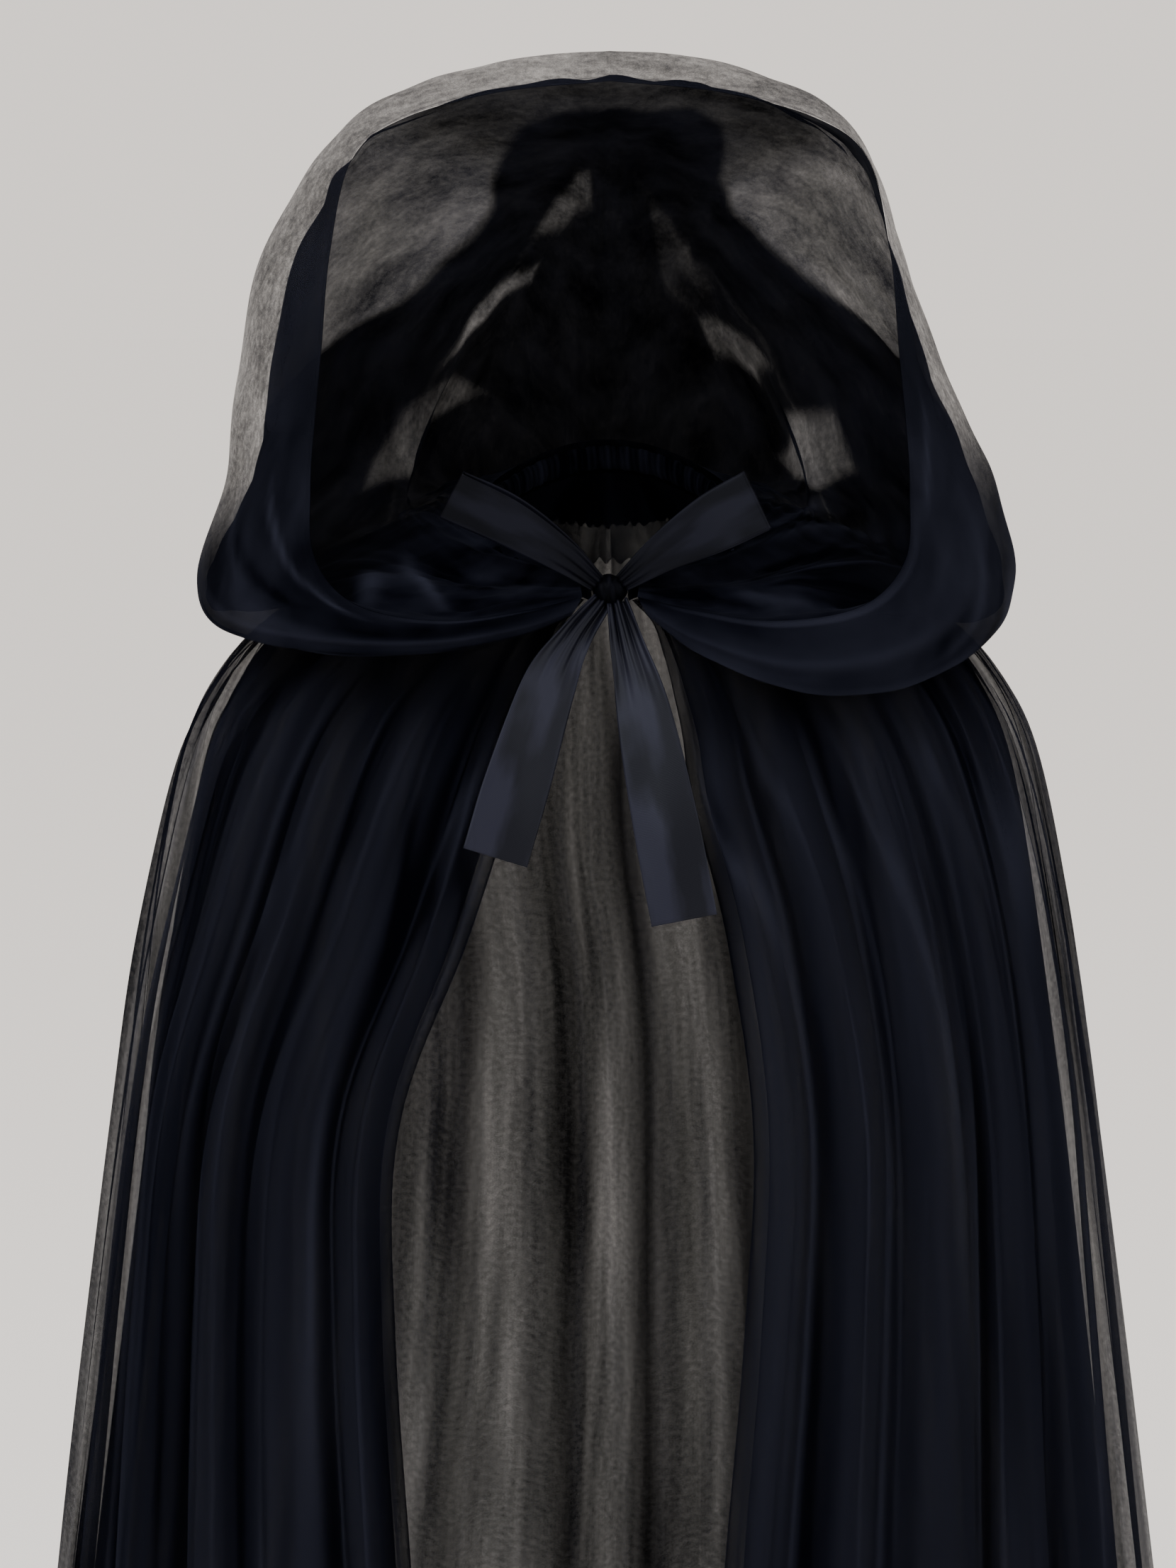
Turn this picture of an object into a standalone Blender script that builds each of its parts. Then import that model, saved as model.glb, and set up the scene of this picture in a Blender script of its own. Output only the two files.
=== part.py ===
# Hooded evening cloak of sheer black net, tied at the neck with a satin ribbon.
# Metres, +Z up, the front faces -Y. The origin is the middle of the neck ring.
# Left and right are those of a viewer who faces the front.

import math

import bmesh
import bpy
import numpy as np
from mathutils import Vector

# Cloth and ribbon
NET_WALL = 0.0012
RIBBON_WALL = 0.0010
SEAM_GAP = 0.0003

# Neck casing
CASING_HEIGHT = 0.014
CASING_THICKNESS = 0.006
CASING_START_DEG = 9.3
CASING_RUCHES = 36
CASING_STEPS_PER_RUCHE = 2
CASING_SIDES = 8
RUCHE_DEPTH = 0.16
SEAM_OUT = 0.0015
NECK_RING = {"half_width": 0.066, "front": 0.088, "back": 0.062,
             "side_z": 0.0, "front_z": -0.042, "back_z": 0.022}

# Knot of the bow
KNOT_CENTRE = (0.0, -0.0945, -0.042)
KNOT_RADII = (0.0125, 0.0098, 0.0125)
KNOT_SEGMENTS = (14, 10)

# Cape rings, from the neck seam down to the hem: heights at the side, front and back,
# the outline seen from above, where each front edge stands, how deep the folds are, and
# how far the inner layer hangs inside the outer one at the side and at the front.
RING_COLUMNS = ("side_z", "front_z", "back_z", "half_width", "front", "back",
                "left_edge", "right_edge", "fold", "side_gap", "front_gap")
CAPE_RINGS = (
    (-0.0075, -0.0495, 0.0145, 0.0670, 0.0890, 0.0630, 0.0140, 0.0125, 0.02, 0.0018, 0.0018),
    (-0.0220, -0.0620, 0.0020, 0.1050, 0.1030, 0.0820, 0.0250, 0.0240, 0.06, 0.0040, 0.0030),
    (-0.0430, -0.0780, -0.0240, 0.1550, 0.1160, 0.1000, 0.0310, 0.0300, 0.09, 0.0055, 0.0035),
    (-0.0680, -0.0980, -0.0520, 0.1950, 0.1280, 0.1160, 0.0370, 0.0350, 0.13, 0.0075, 0.0040),
    (-0.0950, -0.1200, -0.0840, 0.2210, 0.1380, 0.1300, 0.0440, 0.0400, 0.18, 0.0105, 0.0050),
    (-0.1400, -0.1550, -0.1350, 0.2440, 0.1490, 0.1430, 0.0540, 0.0450, 0.24, 0.0140, 0.0060),
    (-0.2250, -0.2280, -0.2240, 0.2620, 0.1640, 0.1560, 0.0780, 0.0640, 0.34, 0.0165, 0.0070),
    (-0.3300, -0.3300, -0.3300, 0.2775, 0.1800, 0.1670, 0.1150, 0.0780, 0.46, 0.0180, 0.0080),
    (-0.4500, -0.4500, -0.4500, 0.2920, 0.1880, 0.1780, 0.1170, 0.0730, 0.58, 0.0190, 0.0085),
    (-0.6500, -0.6500, -0.6500, 0.3160, 0.2000, 0.2000, 0.1050, 0.0590, 0.74, 0.0200, 0.0090),
    (-0.9800, -0.9800, -0.9800, 0.3570, 0.2260, 0.2380, 0.0960, 0.0550, 0.90, 0.0210, 0.0095),
    (-1.4200, -1.4200, -1.4200, 0.4120, 0.2660, 0.2900, 0.0880, 0.0500, 1.00, 0.0220, 0.0100),
)

# Cape folds, from the left front edge round the back to the right one: the share of the
# width that each takes up, how far it stands out at the hem, and how far down it begins.
FOLD_COLUMNS = ("width", "depth", "start")
CAPE_FOLDS = (
    (0.7, 0.010, 0.05),
    (1.0, 0.021, 0.00),
    (0.8, 0.016, 0.20),
    (1.2, 0.026, 0.00),
    (0.9, 0.019, 0.30),
    (1.3, 0.024, 0.00),
    (1.0, 0.020, 0.12),
    (1.2, 0.014, 0.00),
    (0.9, 0.020, 0.25),
    (1.3, 0.027, 0.00),
    (1.0, 0.022, 0.10),
    (1.2, 0.025, 0.00),
    (0.8, 0.018, 0.30),
    (1.1, 0.026, 0.00),
    (1.0, 0.022, 0.15),
    (1.3, 0.027, 0.00),
    (0.9, 0.020, 0.22),
    (1.2, 0.024, 0.00),
    (1.0, 0.014, 0.10),
    (1.1, 0.019, 0.00),
    (0.8, 0.017, 0.28),
    (1.3, 0.025, 0.00),
    (0.9, 0.020, 0.08),
    (1.1, 0.024, 0.00),
    (0.8, 0.016, 0.24),
    (0.7, 0.009, 0.05),
)
FOLD_GROWTH = 1.6
COLUMNS_PER_FOLD = 4
INNER_COLUMNS_PER_FOLD = 2
INNER_FOLD_SHARE = 0.8
INNER_HEM_LIFT = 0.012

# Hood sections, from the knot up to the middle of the head. Each runs from the front
# edge over its widest point, the back and the fall behind the neck to the neck seam.
# right_side narrows the widest point on the right, and right_drop lowers it there.
HOOD_COLUMNS = ("rim_x", "rim_y", "rim_z", "side_x", "side_y", "side_z", "back_x", "back_y", "back_z",
                "fall_x", "fall_y", "fall_z", "neck_deg", "right_side", "right_drop")
HOOD_SECTIONS = (
    (0.015, -0.108, -0.044, 0.021, -0.112, -0.054, 0.024, -0.103, -0.055, 0.022, -0.096, -0.046, 15, 1.0, 0.0),
    (0.045, -0.121, -0.05, 0.053, -0.127, -0.064, 0.057, -0.112, -0.064, 0.05, -0.097, -0.045, 33, 1.0, 0.01),
    (0.09, -0.138, -0.054, 0.106, -0.142, -0.071, 0.103, -0.116, -0.068, 0.08, -0.088, -0.036, 50, 1.0, 0.019),
    (0.136, -0.139, -0.046, 0.168, -0.118, -0.072, 0.156, -0.084, -0.068, 0.116, -0.064, -0.032, 66, 0.98, 0.016),
    (0.16, -0.13, -0.022, 0.222, -0.052, -0.066, 0.194, -0.022, -0.058, 0.138, -0.012, -0.022, 82, 0.96, 0.006),
    (0.163, -0.120, 0.015, 0.240, 0.010, -0.044, 0.204, 0.050, -0.050, 0.138, 0.036, -0.020, 98, 0.98, 0.0),
    (0.161, -0.115, 0.050, 0.222, 0.006, 0.014, 0.194, 0.104, -0.026, 0.128, 0.090, -0.034, 114, 1.0, 0.0),
    (0.157, -0.110, 0.092, 0.215, 0.004, 0.068, 0.172, 0.142, 0.012, 0.104, 0.116, -0.034, 131, 0.91, 0.0),
    (0.152, -0.105, 0.144, 0.199, 0.004, 0.134, 0.136, 0.166, 0.058, 0.076, 0.132, -0.038, 146, 0.84, 0.0),
    (0.140, -0.100, 0.193, 0.162, 0.0, 0.190, 0.098, 0.176, 0.088, 0.050, 0.142, -0.042, 158, 0.87, 0.0),
    (0.112, -0.096, 0.215, 0.122, -0.010, 0.221, 0.064, 0.181, 0.104, 0.033, 0.147, -0.044, 166, 0.90, 0.0),
    (0.060, -0.092, 0.229, 0.062, -0.024, 0.240, 0.031, 0.184, 0.115, 0.016, 0.149, -0.045, 173, 0.94, 0.0),
    (0.0, -0.090, 0.235, 0.0, -0.034, 0.246, 0.0, 0.185, 0.119, 0.0, 0.150, -0.045, 180, 1.0, 0.0),
)
HOOD_ACROSS = 52
HOOD_ROWS = 12
HOOD_SIDE_AT = 0.25
HOOD_GATHERS = 13
HOOD_GATHER_DEPTH = 0.0018
GATHERS_BEGIN = 0.65
GATHERS_DEEPEN = 0.25

# Lining sections, beside the hood's from TENT_FOOT up: how far the widest point hangs
# inside the outer hood on each side, then the outer and inner edges of the tent it forms.
# Nearer the knot the lining spans the cowl, from the front edge to the neck; it leaves
# the span over SPAN_BLEND sections, and the tent's back hangs free after BACK_BLEND more.
TENT_FOOT = 4
SPAN_ENDS = 2.5
SPAN_BLEND = 2.0
BACK_BLEND = 4.0
SPAN_SAG = 0.001
LINING_COLUMNS = ("left_gap", "right_gap", "ridge_x", "ridge_y", "ridge_z", "tent_x", "tent_y", "tent_z")
LINING_SECTIONS = (
    (0.0032, 0.0032, 0.182, -0.022, -0.046, 0.130, -0.012, -0.012),
    (0.0050, 0.0045, 0.178, 0.022, -0.026, 0.126, 0.034, -0.006),
    (0.0150, 0.0100, 0.166, 0.010, 0.028, 0.122, 0.064, 0.012),
    (0.0190, 0.0080, 0.148, -0.004, 0.084, 0.108, 0.076, 0.056),
    (0.0190, 0.0070, 0.110, -0.010, 0.124, 0.084, 0.080, 0.098),
    (0.0170, 0.0090, 0.072, -0.010, 0.162, 0.058, 0.080, 0.130),
    (0.0130, 0.0100, 0.064, -0.010, 0.190, 0.040, 0.074, 0.154),
    (0.0090, 0.0080, 0.040, -0.010, 0.212, 0.018, 0.064, 0.182),
    (0.0080, 0.0080, 0.000, -0.010, 0.219, 0.000, 0.060, 0.192),
)
LINING_ROWS = 15
RIM_SEAM = 0.0020
LINING_FALL_AT = 0.84
LINING_FALL_GAP = 0.018
LINING_BACK_IN = (0.70, 0.70, 0.75)
LINING_SEAM_UP = 0.0034

# Ribbon routes: the middle of the ribbon, its width there, and the tilt of its face.
# A loop's route is its front ply, from the knot to the folded end.
ROUTE_COLUMNS = ("x", "y", "z", "width", "tilt_deg")
LOOP_LEFT_ROUTE = (
    (-0.0094, -0.0993, -0.0352, 0.010, 0),
    (-0.0270, -0.1090, -0.0200, 0.019, 12),
    (-0.0560, -0.1180, -0.0010, 0.028, 22),
    (-0.0860, -0.1220, 0.0130, 0.031, 26),
)
LOOP_RIGHT_ROUTE = (
    (0.0094, -0.0993, -0.0352, 0.010, 0),
    (0.0290, -0.1090, -0.0200, 0.021, 10),
    (0.0560, -0.1180, -0.0030, 0.032, 16),
    (0.0800, -0.1220, 0.0100, 0.035, 18),
)
TAIL_LEFT_ROUTE = (
    (-0.0058, -0.1018, -0.0496, 0.011, 0),
    (-0.0200, -0.1190, -0.0660, 0.019, 10),
    (-0.0340, -0.1360, -0.0920, 0.031, 14),
    (-0.0500, -0.1560, -0.1400, 0.036, 8),
    (-0.0620, -0.1680, -0.1790, 0.036, 4),
)
TAIL_RIGHT_ROUTE = (
    (0.0056, -0.1020, -0.0500, 0.011, 0),
    (0.0100, -0.1190, -0.0700, 0.019, -8),
    (0.0180, -0.1360, -0.1030, 0.030, -12),
    (0.0300, -0.1580, -0.1620, 0.036, -6),
    (0.0400, -0.1700, -0.2130, 0.036, -2),
)
LOOP_OPENING = 0.0060
LOOP_FOLD = 0.0030
LOOP_COLUMNS = 4
LOOP_ROWS = 16
TAIL_COLUMNS = 6
TAIL_ROWS = 12
TAIL_CREASES = 2
RIBBON_CREASE = 0.0016
CREASE_FADE = 1.7

# Colours, roughness and metallic value of the two cloths
NET_LOOK = ((0.008, 0.009, 0.014, 1.0), 0.85, 0.0)
SATIN_LOOK = ((0.020, 0.020, 0.028, 1.0), 0.45, 0.0)


def clear_scene():
    for old in list(bpy.data.objects):
        bpy.data.objects.remove(old, do_unlink=True)


def make_collection(name):
    collection = bpy.data.collections.new(name)
    bpy.context.scene.collection.children.link(collection)
    return collection


def make_material(name, look):
    colour, roughness, metallic = look
    material = bpy.data.materials.new(name)
    material.use_nodes = True
    shader = material.node_tree.nodes["Principled BSDF"]
    shader.inputs["Base Color"].default_value = colour
    shader.inputs["Roughness"].default_value = roughness
    shader.inputs["Metallic"].default_value = metallic
    return material


def smooth_step(value):
    value = min(max(value, 0.0), 1.0)
    return value * value * (3 - 2 * value)


def smooth_row(rows, place):
    """Row of a table at a place between 0 and its last row, on a smooth curve through them."""
    last = len(rows) - 1
    place = min(max(place, 0.0), float(last))
    low = min(int(place), last - 1)
    share = place - low
    here = np.array(rows[low])
    after = np.array(rows[low + 1])
    slope_here = (after - np.array(rows[low - 1])) / 2 if low > 0 else after - here
    slope_after = (np.array(rows[low + 2]) - here) / 2 if low + 2 <= last else after - here
    square = share * share
    cube = square * share
    return ((2 * cube - 3 * square + 1) * here + (cube - 2 * square + share) * slope_here
            + (3 * square - 2 * cube) * after + (cube - square) * slope_after)


def table_row(table, columns, place):
    return dict(zip(columns, smooth_row(table, place)))


def ring_point(ring, angle):
    """Point of a ring at an angle from the front, positive to the right."""
    sine = math.sin(angle)
    cosine = math.cos(angle)
    reach = ring["front"] if cosine > 0 else ring["back"]
    end_z = ring["front_z"] if cosine > 0 else ring["back_z"]
    height = ring["side_z"] + (end_z - ring["side_z"]) * cosine * cosine
    return Vector((ring["half_width"] * sine, -reach * cosine, height))


def neck_point(angle_deg, out, up):
    ring = dict(NECK_RING)
    for name in ("half_width", "front", "back"):
        ring[name] += out
    return ring_point(ring, math.radians(angle_deg)) + Vector((0, 0, up))


def surface_normal(place, across, down):
    step = 0.002
    before = place(max(across - step, 0), down)
    after = place(min(across + step, 1), down)
    above = place(across, max(down - step, 0))
    below = place(across, min(down + step, 1))
    return (after - before).cross(below - above).normalized()


def grid_mesh(across, down, place):
    """Grid of across by down faces, each corner put where place() says."""
    mesh = bmesh.new()
    bmesh.ops.create_grid(mesh, x_segments=across, y_segments=down, size=1.0)
    for corner in mesh.verts:
        across_share = round((corner.co.x + 1) / 2 * across) / across
        down_share = round((corner.co.y + 1) / 2 * down) / down
        corner.co = place(across_share, down_share)
    return mesh


def finish_object(mesh, name, material, collection):
    data = bpy.data.meshes.new(name)
    mesh.to_mesh(data)
    mesh.free()
    data.materials.append(material)
    made = bpy.data.objects.new(name, data)
    collection.objects.link(made)
    data.shade_smooth()
    return made


def add_wall(made, thickness, offset=-1.0):
    wall = made.modifiers.new("Wall", "SOLIDIFY")
    wall.thickness = thickness
    wall.offset = offset
    return made


# Cape

def fold_at(across):
    """Width boundaries are shared out by the table, so a column lands on each fold's middle."""
    count = len(CAPE_FOLDS)
    index = min(int(across * count + 1e-9), count - 1)
    inside = across * count - index
    widths = [row[0] for row in CAPE_FOLDS]
    share = (sum(widths[:index]) + widths[index] * inside) / sum(widths)
    return share, inside, dict(zip(FOLD_COLUMNS, CAPE_FOLDS[index]))


def cape_surface(across, down):
    """Smooth form of the cape, with no folds."""
    share = fold_at(across)[0]
    ring = table_row(CAPE_RINGS, RING_COLUMNS, down * (len(CAPE_RINGS) - 1))
    left = -math.asin(ring["left_edge"] / ring["half_width"])
    right = math.asin(ring["right_edge"] / ring["half_width"]) - 2 * math.pi
    return ring_point(ring, left + (right - left) * share)


def cape_fold(across, down):
    ring = table_row(CAPE_RINGS, RING_COLUMNS, down * (len(CAPE_RINGS) - 1))
    _, inside, fold = fold_at(across)
    growth = smooth_step((down - fold["start"]) / (1 - fold["start"]) * FOLD_GROWTH)
    return fold["depth"] * ring["fold"] * growth * abs(math.sin(math.pi * inside))


def cape_outer_point(across, down):
    normal = surface_normal(cape_surface, across, down)
    return cape_surface(across, down) + normal * cape_fold(across, down)


def cape_inner_point(across, down):
    rings = len(CAPE_RINGS) - 1
    ring = table_row(CAPE_RINGS, RING_COLUMNS, down * rings)
    share = fold_at(across)[0]
    side = math.sin(2 * math.pi * share) ** 2
    gap = ring["front_gap"] + (ring["side_gap"] - ring["front_gap"]) * side
    point = cape_surface(across, down)
    normal = surface_normal(cape_surface, across, down)
    moved = point + normal * (INNER_FOLD_SHARE * cape_fold(across, down) - gap)
    moved.z += INNER_HEM_LIFT * smooth_step(down * rings - rings + 1)
    return moved


def make_cape(name, per_fold, place, material, collection):
    across = per_fold * len(CAPE_FOLDS)
    mesh = grid_mesh(across, len(CAPE_RINGS) - 1, place)
    return add_wall(finish_object(mesh, name, material, collection), NET_WALL)


# Hood

def hood_section(across):
    """Control points of one hood section, left of the middle for across under a half."""
    last = len(HOOD_SECTIONS) - 1
    right = across > 0.5
    place = (1 - abs(2 * across - 1)) * last
    row = table_row(HOOD_SECTIONS, HOOD_COLUMNS, place)
    sign = 1 if right else -1
    names = ("rim", "side", "back", "fall")
    points = [Vector((sign * row[n + "_x"], row[n + "_y"], row[n + "_z"])) for n in names]
    if right:
        points[1].x *= row["right_side"]
        points[1].z -= row["right_drop"]
        points[2].z -= row["right_drop"] / 3
    seam_up = CASING_HEIGHT / 2 + SEAM_GAP
    points.append(neck_point(sign * row["neck_deg"], SEAM_OUT, seam_up))
    return points


def hood_surface(across, down):
    points = hood_section(across)
    return Vector(smooth_row(points, down * (len(points) - 1)))


def hood_outer_point(across, down):
    gather = HOOD_GATHER_DEPTH * smooth_step((down - GATHERS_BEGIN) / GATHERS_DEEPEN)
    gather *= smooth_step((1 - down) * HOOD_ROWS)
    wave = math.sin(2 * math.pi * HOOD_GATHERS * across)
    return hood_surface(across, down) + surface_normal(hood_surface, across, down) * gather * wave


def lining_section(across):
    """Control points of one lining section, the right of the middle for across over a half."""
    sign = 1 if across > 0.5 else -1
    place = (1 - abs(2 * across - 1)) * (len(HOOD_SECTIONS) - 1)
    row = table_row(LINING_SECTIONS, LINING_COLUMNS, place - TENT_FOOT)
    outer = hood_section(across)
    rim = outer[0] - surface_normal(hood_surface, across, 0) * RIM_SEAM
    gap = row["right_gap"] if sign > 0 else row["left_gap"]
    side = outer[1] - surface_normal(hood_surface, across, HOOD_SIDE_AT) * gap
    ridge = Vector((sign * row["ridge_x"], row["ridge_y"], row["ridge_z"]))
    tent = Vector((sign * row["tent_x"], row["tent_y"], row["tent_z"]))
    back = Vector([outer[2][i] * LINING_BACK_IN[i] for i in range(3)])
    fall_in = surface_normal(hood_surface, across, LINING_FALL_AT) * LINING_FALL_GAP
    fall = hood_surface(across, LINING_FALL_AT) - fall_in
    neck = outer[4] + Vector((0, 0, LINING_SEAM_UP))
    hanging = [rim, side, ridge, tent, back, fall, neck]
    last = len(hanging) - 1
    free = smooth_step((place - SPAN_ENDS) / SPAN_BLEND)
    behind = smooth_step((place - TENT_FOOT) / BACK_BLEND)
    hanging[4] = tent.lerp(neck, 1 / 3).lerp(back, behind)
    hanging[5] = tent.lerp(neck, 2 / 3).lerp(fall, behind)
    points = []
    for index, point in enumerate(hanging):
        span = rim.lerp(neck, index / last)
        span.z -= SPAN_SAG * math.sin(math.pi * index / last)
        points.append(span.lerp(point, free))
    return points


def lining_point(across, down):
    points = lining_section(across)
    return Vector(smooth_row(points, down * (len(points) - 1)))


def make_hood(name, rows, place, material, collection):
    mesh = grid_mesh(HOOD_ACROSS, rows, place)
    return add_wall(finish_object(mesh, name, material, collection), NET_WALL)


# Neck casing and ribbon

def casing_point(across, around):
    start = CASING_START_DEG
    angle = -(start + (360 - 2 * start) * across)
    turn = -2 * math.pi * around
    ruche = 1 + RUCHE_DEPTH * math.cos(2 * math.pi * CASING_RUCHES * across)
    out = CASING_THICKNESS / 2 * math.cos(turn) * ruche
    up = CASING_HEIGHT / 2 * math.sin(turn)
    return neck_point(angle, out, up)


def make_casing(material, collection):
    weld = 0.00005
    mesh = grid_mesh(CASING_RUCHES * CASING_STEPS_PER_RUCHE, CASING_SIDES, casing_point)
    bmesh.ops.remove_doubles(mesh, verts=mesh.verts, dist=weld)
    bmesh.ops.holes_fill(mesh, edges=mesh.edges)
    bmesh.ops.recalc_face_normals(mesh, faces=mesh.faces)
    return finish_object(mesh, "neck_casing", material, collection)


def make_knot(material, collection):
    mesh = bmesh.new()
    around, rows = KNOT_SEGMENTS
    bmesh.ops.create_uvsphere(mesh, u_segments=around, v_segments=rows, radius=1.0)
    bmesh.ops.scale(mesh, vec=KNOT_RADII, verts=mesh.verts)
    bmesh.ops.translate(mesh, vec=KNOT_CENTRE, verts=mesh.verts)
    return finish_object(mesh, "bow_knot", material, collection)


def route_frame(route, down):
    """Middle, width, width direction and face direction of a ribbon at a share of its route."""
    last = len(route) - 1
    row = table_row(route, ROUTE_COLUMNS, down * last)
    step = 0.01
    before = smooth_row(route, max(down - step, 0) * last)
    after = smooth_row(route, min(down + step, 1) * last)
    along = Vector(after[:3] - before[:3]).normalized()
    toward = Vector((0, -1, 0))
    side = along.cross(toward).normalized()
    face = side.cross(along).normalized()
    tilt = math.radians(row["tilt_deg"])
    width_way = side * math.cos(tilt) + face * math.sin(tilt)
    face_way = width_way.cross(along).normalized()
    return Vector((row["x"], row["y"], row["z"])), row["width"], width_way, face_way


def ribbon_place(route, pleats):
    def place(across, down):
        middle, width, width_way, face_way = route_frame(route, down)
        crease = RIBBON_CREASE * (1 - smooth_step(down * CREASE_FADE)) * math.cos(2 * math.pi * pleats * across)
        return middle + width_way * width * (across - 0.5) + face_way * crease
    return place


def loop_place(route):
    """Front ply out to the folded end, then the back ply home to the knot."""
    def place(across, down):
        turn = (LOOP_ROWS / 2 - 1) / (LOOP_ROWS / 2)
        out = min((1 - abs(2 * down - 1)) / turn, 1)
        middle, width, width_way, face_way = route_frame(route, out)
        apart = LOOP_FOLD + (LOOP_OPENING - LOOP_FOLD) * math.sin(math.pi * out)
        ply = min(max((0.5 - down) * LOOP_ROWS, -1), 1)
        return middle + width_way * width * (across - 0.5) + face_way * apart * ply / 2
    return place


def make_ribbon(name, across, down, place, material, collection):
    mesh = grid_mesh(across, down, place)
    return add_wall(finish_object(mesh, name, material, collection), RIBBON_WALL, 0.0)


def main():
    clear_scene()
    cloak = make_collection("hooded_cloak")
    net = make_material("net", NET_LOOK)
    satin = make_material("satin", SATIN_LOOK)
    make_cape("cape_outer", COLUMNS_PER_FOLD, cape_outer_point, net, cloak)
    make_cape("cape_inner", INNER_COLUMNS_PER_FOLD, cape_inner_point, net, cloak)
    make_hood("hood_outer", HOOD_ROWS, hood_outer_point, net, cloak)
    make_hood("hood_lining", LINING_ROWS, lining_point, net, cloak)
    make_casing(net, cloak)
    make_knot(satin, cloak)
    for side, route in (("left", LOOP_LEFT_ROUTE), ("right", LOOP_RIGHT_ROUTE)):
        make_ribbon("bow_loop_" + side, LOOP_COLUMNS, LOOP_ROWS, loop_place(route), satin, cloak)
    for side, route in (("left", TAIL_LEFT_ROUTE), ("right", TAIL_RIGHT_ROUTE)):
        place = ribbon_place(route, TAIL_CREASES)
        make_ribbon("ribbon_tail_" + side, TAIL_COLUMNS, TAIL_ROWS, place, satin, cloak)


main()
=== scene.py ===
import math

import bmesh
import bpy
import numpy as np
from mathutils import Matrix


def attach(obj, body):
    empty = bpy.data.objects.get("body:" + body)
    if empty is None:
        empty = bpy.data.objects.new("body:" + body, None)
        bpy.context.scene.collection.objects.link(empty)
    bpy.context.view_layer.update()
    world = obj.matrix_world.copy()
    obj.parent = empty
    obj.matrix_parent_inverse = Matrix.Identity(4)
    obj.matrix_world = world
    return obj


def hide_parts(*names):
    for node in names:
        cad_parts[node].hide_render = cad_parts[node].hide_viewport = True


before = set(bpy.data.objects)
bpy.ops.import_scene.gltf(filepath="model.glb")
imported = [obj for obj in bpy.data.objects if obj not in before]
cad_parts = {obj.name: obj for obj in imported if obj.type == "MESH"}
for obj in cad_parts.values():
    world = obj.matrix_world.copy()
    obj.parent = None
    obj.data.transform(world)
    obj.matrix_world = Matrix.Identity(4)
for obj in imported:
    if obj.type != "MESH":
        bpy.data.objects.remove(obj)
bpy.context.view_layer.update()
print("frame loaded")

# Metres, the front faces -Y, left and right are the viewer's

picture = {"height": 2212, "focal": 4744}  # both in the same pixels
cameraSetup = {"place": (-0.012, -1.95, 0.1435), "pitchDown": 9.0, "sensor": 36.0}


def makeCamera():
    data = bpy.data.cameras.new("camera")
    data.sensor_width = cameraSetup["sensor"]
    data.lens = cameraSetup["sensor"] * picture["focal"] / picture["height"]
    camera = bpy.data.objects.new("camera", data)
    camera.location = cameraSetup["place"]
    camera.rotation_euler = (math.radians(90 - cameraSetup["pitchDown"]), 0, 0)
    bpy.context.scene.collection.objects.link(camera)
    bpy.context.scene.camera = camera


makeCamera()
print("camera placed")


# Curves and soft noise, all on whole arrays of points

def easeIn(value):
    value = np.clip(value, 0.0, 1.0)
    return value * value * (3 - 2 * value)


def rise(value, start, over):
    # 0 up to the start and 1 beyond start + over, with soft ends
    return easeIn((value - start) / over)


def thereAndBack(value):
    # 0 at both ends of 0 to 1, and 1 in the middle
    return 1 - np.abs(2 * value - 1)


def alongPoints(points, place):
    # one place on each of many smooth curves, points being curves x knots x values
    last = points.shape[1] - 1
    place = np.clip(place, 0.0, float(last))
    low = np.minimum(place.astype(int), last - 1)
    share = (place - low)[:, None]
    each = np.arange(len(points))
    before, here, after, beyond = [points[each, np.clip(low + step, 0, last)] for step in (-1, 0, 1, 2)]
    slopeHere = np.where((low == 0)[:, None], after - here, (after - before) / 2)
    slopeAfter = np.where((low + 2 > last)[:, None], after - here, (beyond - here) / 2)
    square = share * share
    cube = square * share
    return ((2 * cube - 3 * square + 1) * here + (cube - 2 * square + share) * slopeHere
            + (3 * square - 2 * cube) * after + (cube - square) * slopeAfter)


def tableRows(rows, place):
    # rows of a table at places between 0 and its last row
    rows = np.asarray(rows, float)
    return alongPoints(np.broadcast_to(rows, (len(place), *rows.shape)), place)


def softNoise(across, down, cells, seed):
    # smooth values between -1 and 1, drawn anew from the seed on a grid of cells across and down
    wide, high = cells
    values = np.random.default_rng(seed).uniform(-1, 1, (wide + 2, high + 2))
    x = np.clip(across, 0, 1) * wide
    y = np.clip(down, 0, 1) * high
    i = np.minimum(x.astype(int), wide)
    j = np.minimum(y.astype(int), high)
    u = easeIn(x - i)
    v = easeIn(y - j)
    top = values[i, j] * (1 - u) + values[i + 1, j] * u
    low = values[i, j + 1] * (1 - u) + values[i + 1, j + 1] * u
    return top * (1 - v) + low * v


def unit(vectors):
    return vectors / np.maximum(np.linalg.norm(vectors, axis=1, keepdims=True), 1e-12)


def normals(place, across, down):
    step = 0.002
    before = place(np.maximum(across - step, 0), down)
    after = place(np.minimum(across + step, 1), down)
    above = place(across, np.maximum(down - step, 0))
    below = place(across, np.minimum(down + step, 1))
    return unit(np.cross(after - before, below - above))


def creaseRelief(across, down, creases):
    # soft ridges (or troughs, if depth is below 0) along short lines, fading at both ends
    relief = np.zeros_like(across)
    for startAcross, startDown, endAcross, endDown, width, depth in creases:
        alongX = endAcross - startAcross
        alongY = endDown - startDown
        length = alongX * alongX + alongY * alongY
        share = np.clip(((across - startAcross) * alongX + (down - startDown) * alongY) / length, 0, 1)
        away = np.hypot(across - startAcross - share * alongX, down - startDown - share * alongY)
        relief += depth * np.exp(-(away / width) ** 2) * np.sin(math.pi * (0.08 + 0.84 * share))
    return relief


# Sheets of cloth

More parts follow.
